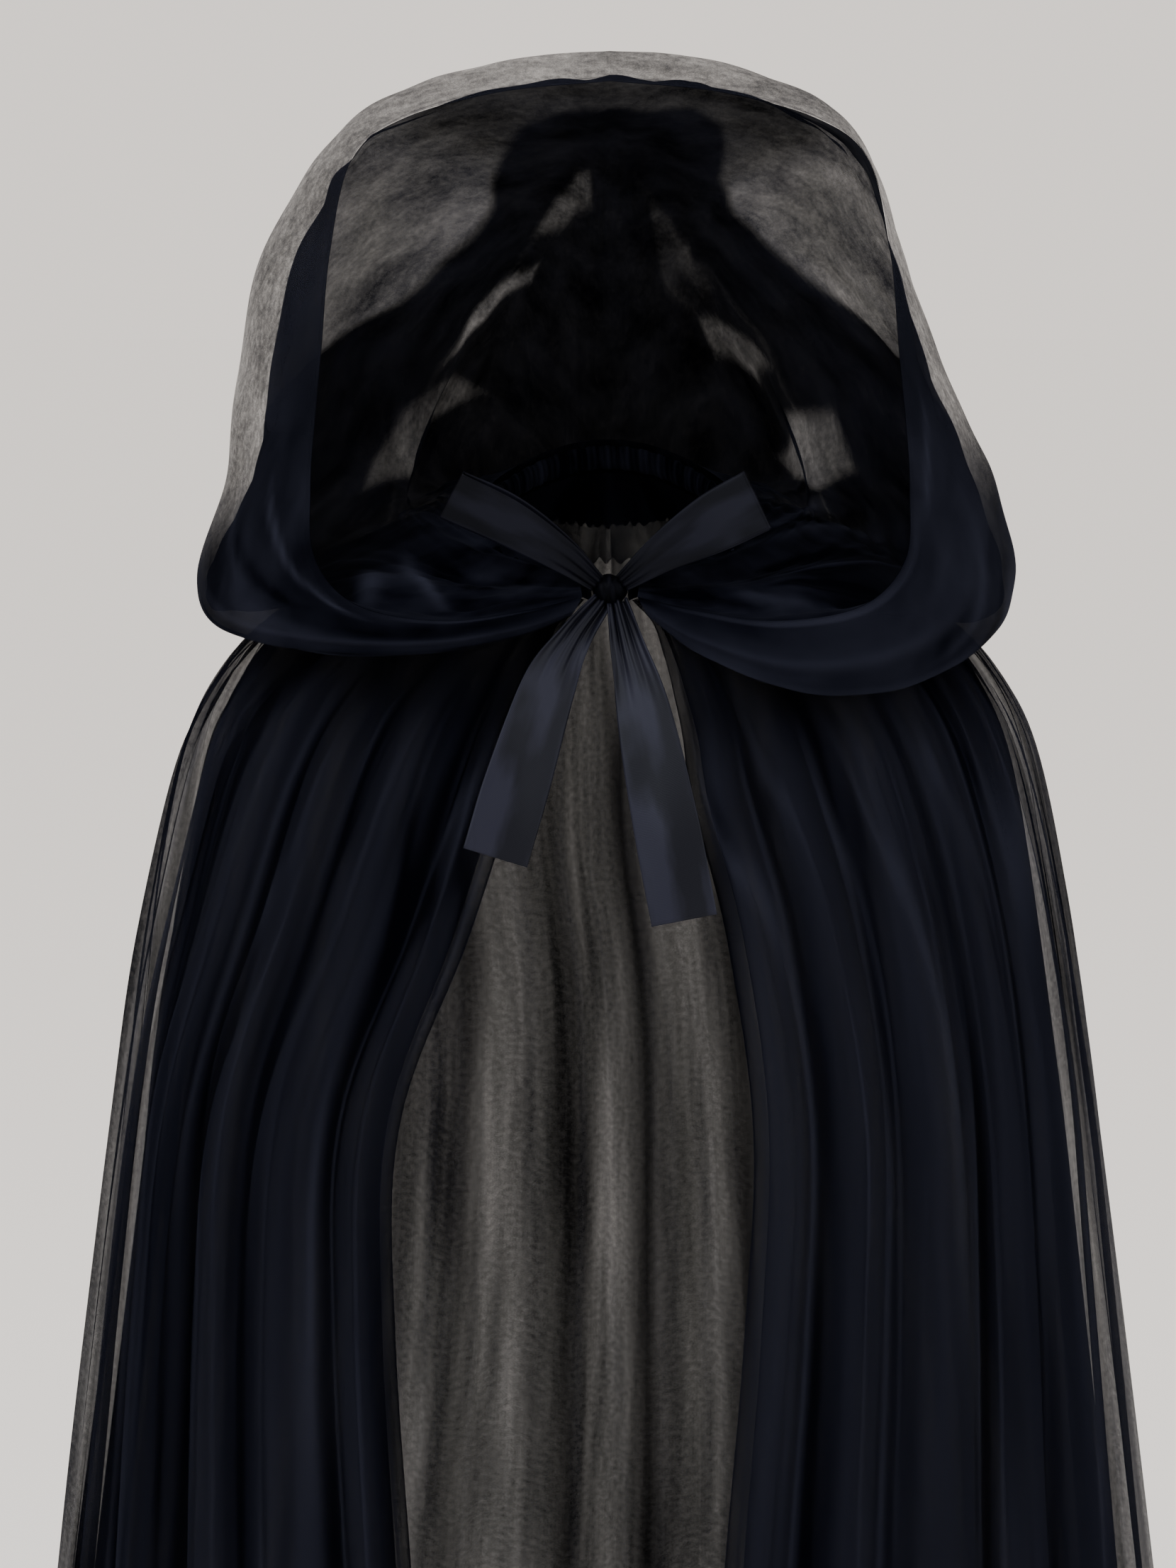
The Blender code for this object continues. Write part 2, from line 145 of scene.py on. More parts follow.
def sheetMesh(name, columns, rows, place, solid, material, toneAndPaintedLight):
    # a grid whose corners go where place() says, with its flat coordinates as the UV map
    mesh = bmesh.new()
    bmesh.ops.create_grid(mesh, x_segments=columns, y_segments=rows, size=1.0)
    corners = np.array([v.co[:2] for v in mesh.verts])
    column = np.rint((corners[:, 0] + 1) / 2 * columns).astype(int)
    row = np.rint((corners[:, 1] + 1) / 2 * rows).astype(int)
    across = column / columns
    down = row / rows
    points = place(across, down)
    for corner, point in zip(mesh.verts, points):
        corner.co = point
    grid = np.zeros((columns + 1, rows + 1, 3))
    grid[column, row] = points
    wide = np.zeros((columns + 1, rows + 1))
    wide[1:] = np.cumsum(np.linalg.norm(np.diff(grid, axis=0), axis=2), axis=0)
    high = np.zeros((columns + 1, rows + 1))
    high[:, 1:] = np.cumsum(np.linalg.norm(np.diff(grid, axis=1), axis=2), axis=1)
    fullWidth = wide[-1, row]
    sideAway = np.minimum(wide[column, row], fullWidth - wide[column, row])
    data = bpy.data.meshes.new(name)
    mesh.to_mesh(data)
    mesh.free()
    cornerOf = np.empty(len(data.loops), int)
    data.loops.foreach_get("vertex_index", cornerOf)
    flat = np.column_stack((across * np.median(wide[-1]), high[column, row]))
    layer = data.uv_layers.new(name="cloth")
    layer.data.foreach_set("uv", flat[cornerOf].ravel())
    values = {"solid": solid(across, down), "toneAndPaintedLight": toneAndPaintedLight(across, down), "sideAway": sideAway,
              "topAway": high[column, row], "hemAway": high[column, -1] - high[column, row]}
    for label, numbers in values.items():
        attribute = data.attributes.new(label, "FLOAT", "POINT")
        attribute.data.foreach_set("value", np.asarray(numbers, float))
    data.materials.append(material)
    data.shade_smooth()
    made = bpy.data.objects.new(name, data)
    bpy.context.scene.collection.objects.link(made)
    return made


# Materials

def nodesOf(material):
    material.use_nodes = True
    tree = material.node_tree
    return tree, tree.nodes["Principled BSDF"]


def addNode(tree, kind, settings=None, **inputs):
    # inputs are given by name, or as i0, i1 by number
    node = tree.nodes.new(kind)
    for name, value in (settings or {}).items():
        setattr(node, name, value)
    for name, value in inputs.items():
        socket = node.inputs[int(name[1:])] if name[0] == "i" and name[1:].isdigit() else node.inputs[name]
        if isinstance(value, bpy.types.NodeSocket):
            tree.links.new(value, socket)
        else:
            socket.default_value = value
    return node


def mathNode(tree, operation, first, second=0.0, clamp=False):
    return addNode(tree, "ShaderNodeMath", {"operation": operation, "use_clamp": clamp},
                   i0=first, i1=second).outputs[0]


def blendNode(tree, share, first, second):
    node = addNode(tree, "ShaderNodeMix", {"data_type": "RGBA"}, i0=share)
    tones = [socket for socket in node.inputs if socket.type == "RGBA"]
    tones[0].default_value = first
    tones[1].default_value = second
    return next(socket for socket in node.outputs if socket.type == "RGBA")


def attributeOf(tree, name):
    node = addNode(tree, "ShaderNodeAttribute", {"attribute_name": name})
    return node.outputs["Fac"]


def lineNear(tree, distance, place, width):
    # 1 on a line at this distance from an edge, 0 elsewhere
    away = mathNode(tree, "ABSOLUTE", mathNode(tree, "SUBTRACT", distance, place))
    return mathNode(tree, "SUBTRACT", 1.0, mathNode(tree, "DIVIDE", away, width), clamp=True)


netLook = {
    "dark": (0.0003, 0.0004, 0.0012, 1), "light": (0.0210, 0.0236, 0.0385, 1),
    "roughness": 0.85, "sheen": 0.012, "sheenTint": (0.62, 0.7, 1, 1),
    # the tone is how far it lies between dark and light, from an attribute of random tone with painted
    # highlights and painted shade, and a cloud
    "cloudShare": 0.25, "toneShare": 0.5,
    # threads between cells, and how much they and the noises let through
    "cell": 0.0014, "threadWidth": 0.16, "threadShare": 0.3, "open": 1.1, "leastOpen": 0.15,
    "bump": 0.15, "bumpHeight": 0.0004,
    "hemWidth": 0.007, "rollWidth": 0.0022, "stitchWidth": 0.0013, "stitchShare": 0.6,
}
netCuts = {
    # noises: marks per metre across and down, and how much they change what shows through
    "capeNet": {"edges": ("sideAway", "hemAway"), "cloud": (21, 1.6),
                "noises": ((110, 5, 0.36), (21, 1.6, 0.50), (330, 300, 0.20))},
    "hoodNet": {"edges": ("topAway",), "cloud": (14, 20),
                "noises": ((90, 130, 0.20), (14, 20, 0.28), (330, 300, 0.24))},
    "liningNet": {"edges": ("topAway",), "cloud": (22, 32),
                  "noises": ((110, 160, 0.26), (22, 32, 0.62), (330, 300, 0.20))},
    "casingNet": {"edges": (), "cloud": (30, 30), "noises": ((200, 60, 0.2),)},
}


def noiseOn(tree, flat, scale, detail):
    # mostly between -1 and 1, in marks per metre across and down the cloth
    placed = addNode(tree, "ShaderNodeMapping", None, Vector=flat, Scale=(*scale, 1.0))
    fac = addNode(tree, "ShaderNodeTexNoise", {"noise_dimensions": "2D"}, Vector=placed.outputs[0],
                  Scale=1.0, Detail=detail).outputs["Fac"]
    return mathNode(tree, "MULTIPLY", mathNode(tree, "SUBTRACT", fac, 0.5), 4.0)


def makeNet(name, cut):
    tree, shader = nodesOf(bpy.data.materials.new(name))
    flat = addNode(tree, "ShaderNodeUVMap", {"uv_map": "cloth"}).outputs["UV"]
    cellKind = {"feature": "DISTANCE_TO_EDGE", "voronoi_dimensions": "2D"}
    cells = addNode(tree, "ShaderNodeTexVoronoi", cellKind,
                    Vector=flat, Scale=1 / netLook["cell"]).outputs["Distance"]
    away = mathNode(tree, "DIVIDE", cells, netLook["threadWidth"])
    thread = mathNode(tree, "SUBTRACT", 1.0, away, clamp=True)
    thread = mathNode(tree, "MULTIPLY", thread, netLook["threadShare"])
    change = mathNode(tree, "SUBTRACT", netLook["open"], thread)
    for across, down, share in cut["noises"]:
        noise = noiseOn(tree, flat, (across, down), 3.0)
        change = mathNode(tree, "ADD", change, mathNode(tree, "MULTIPLY", noise, share))
    clear = mathNode(tree, "SUBTRACT", 1.0, attributeOf(tree, "solid"))
    change = mathNode(tree, "MAXIMUM", change, netLook["leastOpen"])
    clear = mathNode(tree, "MULTIPLY", clear, change, clamp=True)
    for edge in cut["edges"]:
        distance = attributeOf(tree, edge)
        rolled = lineNear(tree, distance, 0.0, netLook["rollWidth"])
        turned = lineNear(tree, distance, netLook["hemWidth"], netLook["stitchWidth"])
        turned = mathNode(tree, "MULTIPLY", turned, netLook["stitchShare"])
        both = mathNode(tree, "MAXIMUM", rolled, turned)
        clear = mathNode(tree, "MULTIPLY", clear, mathNode(tree, "SUBTRACT", 1.0, both))
    tree.links.new(mathNode(tree, "SUBTRACT", 1.0, clear, clamp=True), shader.inputs["Alpha"])
    cloud = noiseOn(tree, flat, cut["cloud"], 3.0)
    cloud = mathNode(tree, "MULTIPLY", cloud, netLook["cloudShare"])
    # random tone plus the painted highlights and painted shade of the folds
    tone = mathNode(tree, "ADD", cloud, attributeOf(tree, "toneAndPaintedLight"))
    tone = mathNode(tree, "MULTIPLY", tone, netLook["toneShare"], clamp=True)
    tree.links.new(blendNode(tree, tone, netLook["dark"], netLook["light"]), shader.inputs["Base Color"])
    bump = addNode(tree, "ShaderNodeBump", None,
                   Strength=netLook["bump"], Distance=netLook["bumpHeight"], Height=cells)
    tree.links.new(bump.outputs["Normal"], shader.inputs["Normal"])
    shader.inputs["Roughness"].default_value = netLook["roughness"]
    shader.inputs["Specular IOR Level"].default_value = 0.0
    shader.inputs["Sheen Weight"].default_value = netLook["sheen"]
    shader.inputs["Sheen Tint"].default_value = netLook["sheenTint"]


def materialNamed(name):
    return bpy.data.materials[name]


satinLook = {
    "dark": (0.0020, 0.0022, 0.0044, 1), "light": (0.0098, 0.0106, 0.0195, 1), "cloud": (60.0, 12.0),
    "roughness": 0.42, "specular": 0.15, "specularTint": (0.78, 0.84, 1, 1),
    # cross ribs: how far apart, and the scale at which a wave has them a metre apart
    "rib": 0.0009, "waveScale": 0.314, "ribWander": 0.6, "bump": 0.12, "bumpHeight": 0.0002,
    # how much light each kind of ribbon piece gives back: the loops and the knot are darker copies of the
    # satin, painted shade
    "shares": {"tailSatin": 1.0, "loopSatinShaded": 0.52, "knotSatinShaded": 0.2},
}


def makeSatin(name, share):
    tree, shader = nodesOf(bpy.data.materials.new(name))
    flat = addNode(tree, "ShaderNodeUVMap", {"uv_map": "cloth"}).outputs["UV"]
    ribs = addNode(tree, "ShaderNodeTexWave", {"bands_direction": "Y"}, Vector=flat,
                   Scale=satinLook["waveScale"] / satinLook["rib"], Distortion=satinLook["ribWander"],
                   Detail=1.0).outputs["Fac"]
    cloud = mathNode(tree, "ADD", 0.5, noiseOn(tree, flat, satinLook["cloud"], 3.0), clamp=True)
    # the cloud times the painted highlights and painted shade of the ribbon's creases
    tone = mathNode(tree, "MULTIPLY", cloud, attributeOf(tree, "toneAndPaintedLight"), clamp=True)
    dark, light = [tuple(v * share for v in satinLook[end][:3]) + (1,) for end in ("dark", "light")]
    tree.links.new(blendNode(tree, tone, dark, light), shader.inputs["Base Color"])
    bump = addNode(tree, "ShaderNodeBump", None,
                   Strength=satinLook["bump"], Distance=satinLook["bumpHeight"], Height=ribs)
    tree.links.new(bump.outputs["Normal"], shader.inputs["Normal"])
    shader.inputs["Roughness"].default_value = satinLook["roughness"]
    shader.inputs["Specular IOR Level"].default_value = satinLook["specular"] * share
    shader.inputs["Specular Tint"].default_value = satinLook["specularTint"]


for netName, netCut in netCuts.items():
    makeNet(netName, netCut)
for satinName, satinShare in satinLook["shares"].items():
    makeSatin(satinName, satinShare)
print("materials made")


# Stage

stage = {"floorAt": -1.425, "floorRadius": 60.0, "floorSides": 96,
         "floor": (0.985, 0.985, 0.985, 1), "roughness": 0.9,
         "air": (1.0, 0.925, 0.855, 1), "airStrength": 1.25}
lamps = (
    # name, place, turn in degrees, size, watts
    ("keyLamp", (-2.2, -2.6, 2.6), (52, 0, -40), 2.6, 90),
    ("fillLamp", (2.6, -2.2, 1.4), (66, 0, 50), 2.4, 35),
    ("topLamp", (0.0, 0.0, 3.2), (0, 0, 0), 2.6, 25),
)


def makeStage():
    mesh = bmesh.new()
    bmesh.ops.create_circle(mesh, cap_ends=True, radius=stage["floorRadius"], segments=stage["floorSides"])
    bmesh.ops.translate(mesh, vec=(0, 0, stage["floorAt"]), verts=mesh.verts)
    data = bpy.data.meshes.new("floor")
    mesh.to_mesh(data)
    mesh.free()
    paper = bpy.data.materials.new("paper")
    _, shader = nodesOf(paper)
    shader.inputs["Base Color"].default_value = stage["floor"]
    shader.inputs["Roughness"].default_value = stage["roughness"]
    shader.inputs["Specular IOR Level"].default_value = 0.0
    data.materials.append(paper)
    floor = bpy.data.objects.new("floor", data)
    bpy.context.scene.collection.objects.link(floor)
    for name, place, turn, size, power in lamps:
        lamp = bpy.data.lights.new(name, "AREA")
        lamp.shape = "SQUARE"
        lamp.size = size
        lamp.energy = power
        made = bpy.data.objects.new(name, lamp)
        made.location = place
        made.rotation_euler = [math.radians(angle) for angle in turn]
        bpy.context.scene.collection.objects.link(made)
    world = bpy.data.worlds.new("studio")
    world.use_nodes = True
    air = world.node_tree.nodes["Background"]
    air.inputs["Color"].default_value = stage["air"]
    air.inputs["Strength"].default_value = stage["airStrength"]
    bpy.context.scene.world = world


makeStage()
print("stage set")


# Neck ring and seams

neck = {"halfWidth": 0.066, "front": 0.088, "back": 0.062,
        "sideZ": 0.0, "frontZ": -0.042, "backZ": 0.022,
        "seamOut": 0.0015, "seamUp": 0.0073}  # the hood's seam beside the ring


def ringPoints(angle, sideZ, frontZ, backZ, halfWidth, front, back):
    sine = np.sin(angle)
    cosine = np.cos(angle)
    reach = np.where(cosine > 0, front, back)
    endZ = np.where(cosine > 0, frontZ, backZ)
    return np.column_stack((halfWidth * sine, -reach * cosine, sideZ + (endZ - sideZ) * cosine * cosine))


def neckPoints(degrees, out, up):
    points = ringPoints(np.radians(degrees), neck["sideZ"], neck["frontZ"], neck["backZ"],
                        neck["halfWidth"] + out, neck["front"] + out, neck["back"] + out)
    points[:, 2] += up
    return points


# Cape, from the left front edge round the back to the right one

cape = {
    # per ring: sideZ, frontZ, backZ, halfWidth, front, back, leftEdge, rightEdge, fold, sideGap, frontGap
    "rings": (
        (-0.0075, -0.0495, 0.0145, 0.0670, 0.0890, 0.0630, 0.0140, 0.0125, 0.02, 0.0018, 0.0018),
        (-0.0220, -0.0620, 0.0020, 0.1050, 0.1030, 0.0820, 0.0250, 0.0240, 0.06, 0.0040, 0.0030),
        (-0.0430, -0.0780, -0.0240, 0.1550, 0.1160, 0.1000, 0.0310, 0.0300, 0.09, 0.0055, 0.0035),
        (-0.0680, -0.0980, -0.0520, 0.1950, 0.1280, 0.1160, 0.0370, 0.0350, 0.13, 0.0075, 0.0040),
        (-0.0950, -0.1200, -0.0840, 0.2210, 0.1380, 0.1300, 0.0440, 0.0400, 0.18, 0.0105, 0.0050),
        (-0.1400, -0.1550, -0.1350, 0.2440, 0.1490, 0.1430, 0.0540, 0.0450, 0.24, 0.0140, 0.0060),
        (-0.2250, -0.2280, -0.2240, 0.2620, 0.1640, 0.1560, 0.0780, 0.0640, 0.34, 0.0165, 0.0070),
        (-0.3300, -0.3300, -0.3300, 0.2775, 0.1800, 0.1670, 0.1150, 0.0780, 0.46, 0.0180, 0.0080),
        (-0.4500, -0.4500, -0.4500, 0.2920, 0.1880, 0.1780, 0.1170, 0.0730, 0.58, 0.0190, 0.0085),
        (-0.6500, -0.6500, -0.6500, 0.3160, 0.2000, 0.2000, 0.1050, 0.0590, 0.74, 0.0200, 0.0090),
        (-0.9800, -0.9800, -0.9800, 0.3570, 0.2260, 0.2380, 0.0960, 0.0550, 0.90, 0.0210, 0.0095),
        (-1.4200, -1.4200, -1.4200, 0.4120, 0.2660, 0.2900, 0.0880, 0.0500, 1.00, 0.0220, 0.0100),
    ),
    # per fold: width, depth, start
    "folds": (
        (0.7, 0.010, 0.05), (1.0, 0.021, 0.00), (0.8, 0.016, 0.20), (1.2, 0.026, 0.00), (0.9, 0.019, 0.30),
        (1.3, 0.024, 0.00), (1.0, 0.020, 0.12), (1.2, 0.014, 0.00), (0.9, 0.020, 0.25), (1.3, 0.027, 0.00),
        (1.0, 0.022, 0.10), (1.2, 0.025, 0.00), (0.8, 0.018, 0.30), (1.1, 0.026, 0.00), (1.0, 0.022, 0.15),
        (1.3, 0.027, 0.00), (0.9, 0.020, 0.22), (1.2, 0.024, 0.00), (1.0, 0.014, 0.10), (1.1, 0.019, 0.00),
        (0.8, 0.017, 0.28), (1.3, 0.025, 0.00), (0.9, 0.020, 0.08), (1.1, 0.024, 0.00), (0.8, 0.016, 0.24),
        (0.7, 0.009, 0.05)),
    "foldGrowth": 1.6, "foldSharpness": 1.25,
    "innerFoldShare": 0.8, "innerLift": 0.012, "innerTrim": 0.010,
    # small ripples: how many across, how high, where down they start
    "ripples": ((43, 0.0021, 0.02), (71, 0.0016, 0.05), (103, 0.0012, 0.0), (149, 0.0008, 0.0)),
    "innerRipples": 0.8, "rippleDrift": 0.9,
    "gathers": 118, "gatherDepth": 0.0012, "gatherEnd": 0.16,
    # at the sides the valleys are filled, so that the net shows sheer there
    "sides": (0.25, 0.75), "sideFill": 0.65, "sideWidth": 0.045, "sideDepth": 0.022,
    # how dense one layer is, and how much denser in valleys, lines and gathers
    "outerSolid": 0.71, "innerSolid": 0.84, "valleyShare": 0.7, "sheerEdge": 0.02,
    "lineShare": 0.3, "gatherShare": 0.7,
    # thin wandering lines: cells across and down, and how wide
    "lineCells": (110, 3), "lineWidth": 0.11,
    # tones: even, painted highlight on ridges, random streaks, painted highlight and painted shade lines,
    # and more on the right
    "even": 0.30, "ridge": 0.42, "streak": 0.10, "paintedHighlightLine": 0.7, "paintedShadeLine": 0.4, "rightTone": 0.06,
    # beside each overlap: where the painted highlight is, how wide, its tone and the painted shade of the
    # overlap
    "paintedHighlightAt": 0.14, "paintedLineWidth": 0.045, "toneAndPaintedLight": 0.5, "paintedOverlapShade": 0.40,
    # painted shadow under the cowl: from, over, and what light is left
    "shadow": (0.30, 0.15, 0.35),
    "outerGrid": (880, 96), "innerGrid": (520, 84),
}


def capeRing(down):
    return tableRows(cape["rings"], down * (len(cape["rings"]) - 1)).T


def foldAt(across):
    table = np.array(cape["folds"])
    index = np.minimum((across * len(table) + 1e-9).astype(int), len(table) - 1)
    inside = across * len(table) - index
    starts = np.concatenate(([0.0], np.cumsum(table[:, 0])))
    share = (starts[index] + table[index, 0] * inside) / starts[-1]
    return share, inside, table[index, 1], table[index, 2]


def capeForm(across, down):
    share = foldAt(across)[0]
    sideZ, frontZ, backZ, halfWidth, front, back, leftEdge, rightEdge = capeRing(down)[:8]
    left = -np.arcsin(leftEdge / halfWidth)
    right = np.arcsin(rightEdge / halfWidth) - 2 * math.pi
    return ringPoints(left + (right - left) * share, sideZ, frontZ, backZ, halfWidth, front, back)


def capeFolds(across, down):
    _, inside, depth, start = foldAt(across)
    growth = easeIn((down - start) / (1 - start) * cape["foldGrowth"])
    return depth * capeRing(down)[8] * growth * np.abs(np.sin(math.pi * inside)) ** cape["foldSharpness"]


def atSides(share):
    return sum(np.exp(-((share - middle) / cape["sideWidth"]) ** 2) for middle in cape["sides"])


def capeRipples(across, down, seed):
    share = foldAt(across)[0]
    relief = np.zeros_like(across)
    for number, (count, height, start) in enumerate(cape["ripples"]):
        drift = cape["rippleDrift"] * softNoise(share, down, (14, 4), seed + number)
        strength = 0.55 + 0.45 * softNoise(share, down, (26, 5), seed + 10 + number)
        grown = easeIn((down - start) * 5)
        relief += height * grown * strength * np.sin(2 * math.pi * (count * share + drift) + number)
    fade = 1 - easeIn(down / cape["gatherEnd"])
    relief += cape["gatherDepth"] * fade * np.sin(2 * math.pi * cape["gathers"] * share)
    return relief * easeIn(down * 14) * (1 - cape["sideFill"] * atSides(share))


def capeOuter(across, down):
    fold = capeFolds(across, down)
    crests = cape["sideDepth"] * capeRing(down)[8]
    fill = cape["sideFill"] * atSides(foldAt(across)[0])
    out = fold + (np.maximum(crests, fold) - fold) * fill + capeRipples(across, down, 100)
    return capeForm(across, down) + normals(capeForm, across, down) * out[:, None]


def capeInner(across, down):
    across = cape["innerTrim"] + (1 - 2 * cape["innerTrim"]) * across
    share = foldAt(across)[0]
    sideGap, frontGap = capeRing(down)[9:11]
    gap = frontGap + (sideGap - frontGap) * np.sin(2 * math.pi * share) ** 2
    out = cape["innerFoldShare"] * capeFolds(across, down) - gap
    # ripples only where the outer layer is far enough away
    out += capeRipples(across, down, 200) * cape["innerRipples"] * rise(gap, 0.002, 0.006)
    points = capeForm(across, down) + normals(capeForm, across, down) * out[:, None]
    last = len(cape["rings"]) - 1
    points[:, 2] += cape["innerLift"] * easeIn(down * last - last + 1)
    return points


def evenSolid(value):
    return lambda across, down: np.full_like(across, value)


def foldLines(share, down, seed):
    # 1 along thin wandering lines down the cape, 0 between them
    wander = softNoise(share, down, cape["lineCells"], seed)
    strength = 0.5 + 0.5 * softNoise(share, down, (40, 4), seed + 40)
    return strength * np.exp(-(wander / cape["lineWidth"]) ** 2)


def capeSolid(value):
    # the net lies closer in the gathers and in the valleys between the folds
    def solid(across, down):
        _, inside, _, start = foldAt(across)
        valley = (1 - np.abs(np.sin(math.pi * inside))) * easeIn((down - start) * 4)
        valley *= 0.65 + 0.35 * softNoise(across, down, (30, 5), 450)
        valley *= easeIn(np.minimum(across, 1 - across) / cape["sheerEdge"])
        lines = foldLines(foldAt(across)[0], down, 463) * easeIn((down - 0.1) * 4)
        gathers = 1 - easeIn(down / 0.2)
        gathered = np.clip(valley + cape["lineShare"] * lines + cape["gatherShare"] * gathers, 0, 1)
        return 1 - (1 - value) * (1 - cape["valleyShare"] * gathered)
    return solid


def capePaintedLightAndTone(across, down):
    # painted highlights along the folds' ridges, uneven, with painted shade between them and random streaks
    share, inside, _, start = foldAt(across)
    ridge = np.abs(np.sin(math.pi * inside ** 1.25)) ** 1.6
    grown = easeIn((down - start) * 5)
    streak = softNoise(share, down, (90, 3), 460) + 0.7 * softNoise(share, down, (210, 5), 461)
    uneven = 0.5 + 0.5 * softNoise(share, down, (26, 4), 462)
    tone = cape["even"] + cape["ridge"] * grown * (ridge - 0.4) * (0.5 + uneven) + cape["streak"] * streak
    tone += cape["paintedHighlightLine"] * foldLines(share, down, 464) - cape["paintedShadeLine"] * foldLines(share, down, 463)
    # a painted highlight beside each overlap, which gets painted shade
    paintedHighlight = np.exp(-((inside - cape["paintedHighlightAt"]) / cape["paintedLineWidth"]) ** 2)
    paintedOverlapShade = np.exp(-(np.minimum(inside, 1 - inside) / cape["paintedLineWidth"]) ** 2)
    crisp = 0.3 + 0.7 * np.clip(0.5 + softNoise(share, down, (30, 4), 465), 0, 1)
    tone += grown * crisp * (cape["toneAndPaintedLight"] * paintedHighlight - cape["paintedOverlapShade"] * paintedOverlapShade)
    # painted shadow under the cowl
    start, over, left = cape["shadow"]
    lit = left + (1 - left) * rise(down, start, over)
    return np.clip((tone + cape["rightTone"] * rise(share, 0.6, 0.2)) * lit, 0.0, 2.0)


capeOuterSheet = sheetMesh("cape_outer_net", *cape["outerGrid"], capeOuter, capeSolid(cape["outerSolid"]),
                           materialNamed("capeNet"), capePaintedLightAndTone)
capeInnerSheet = sheetMesh("cape_inner_net", *cape["innerGrid"], capeInner, capeSolid(cape["innerSolid"]),
                           materialNamed("capeNet"), capePaintedLightAndTone)
print("cape hung")


# Hood, from the knot on the left over the head to the knot on the right

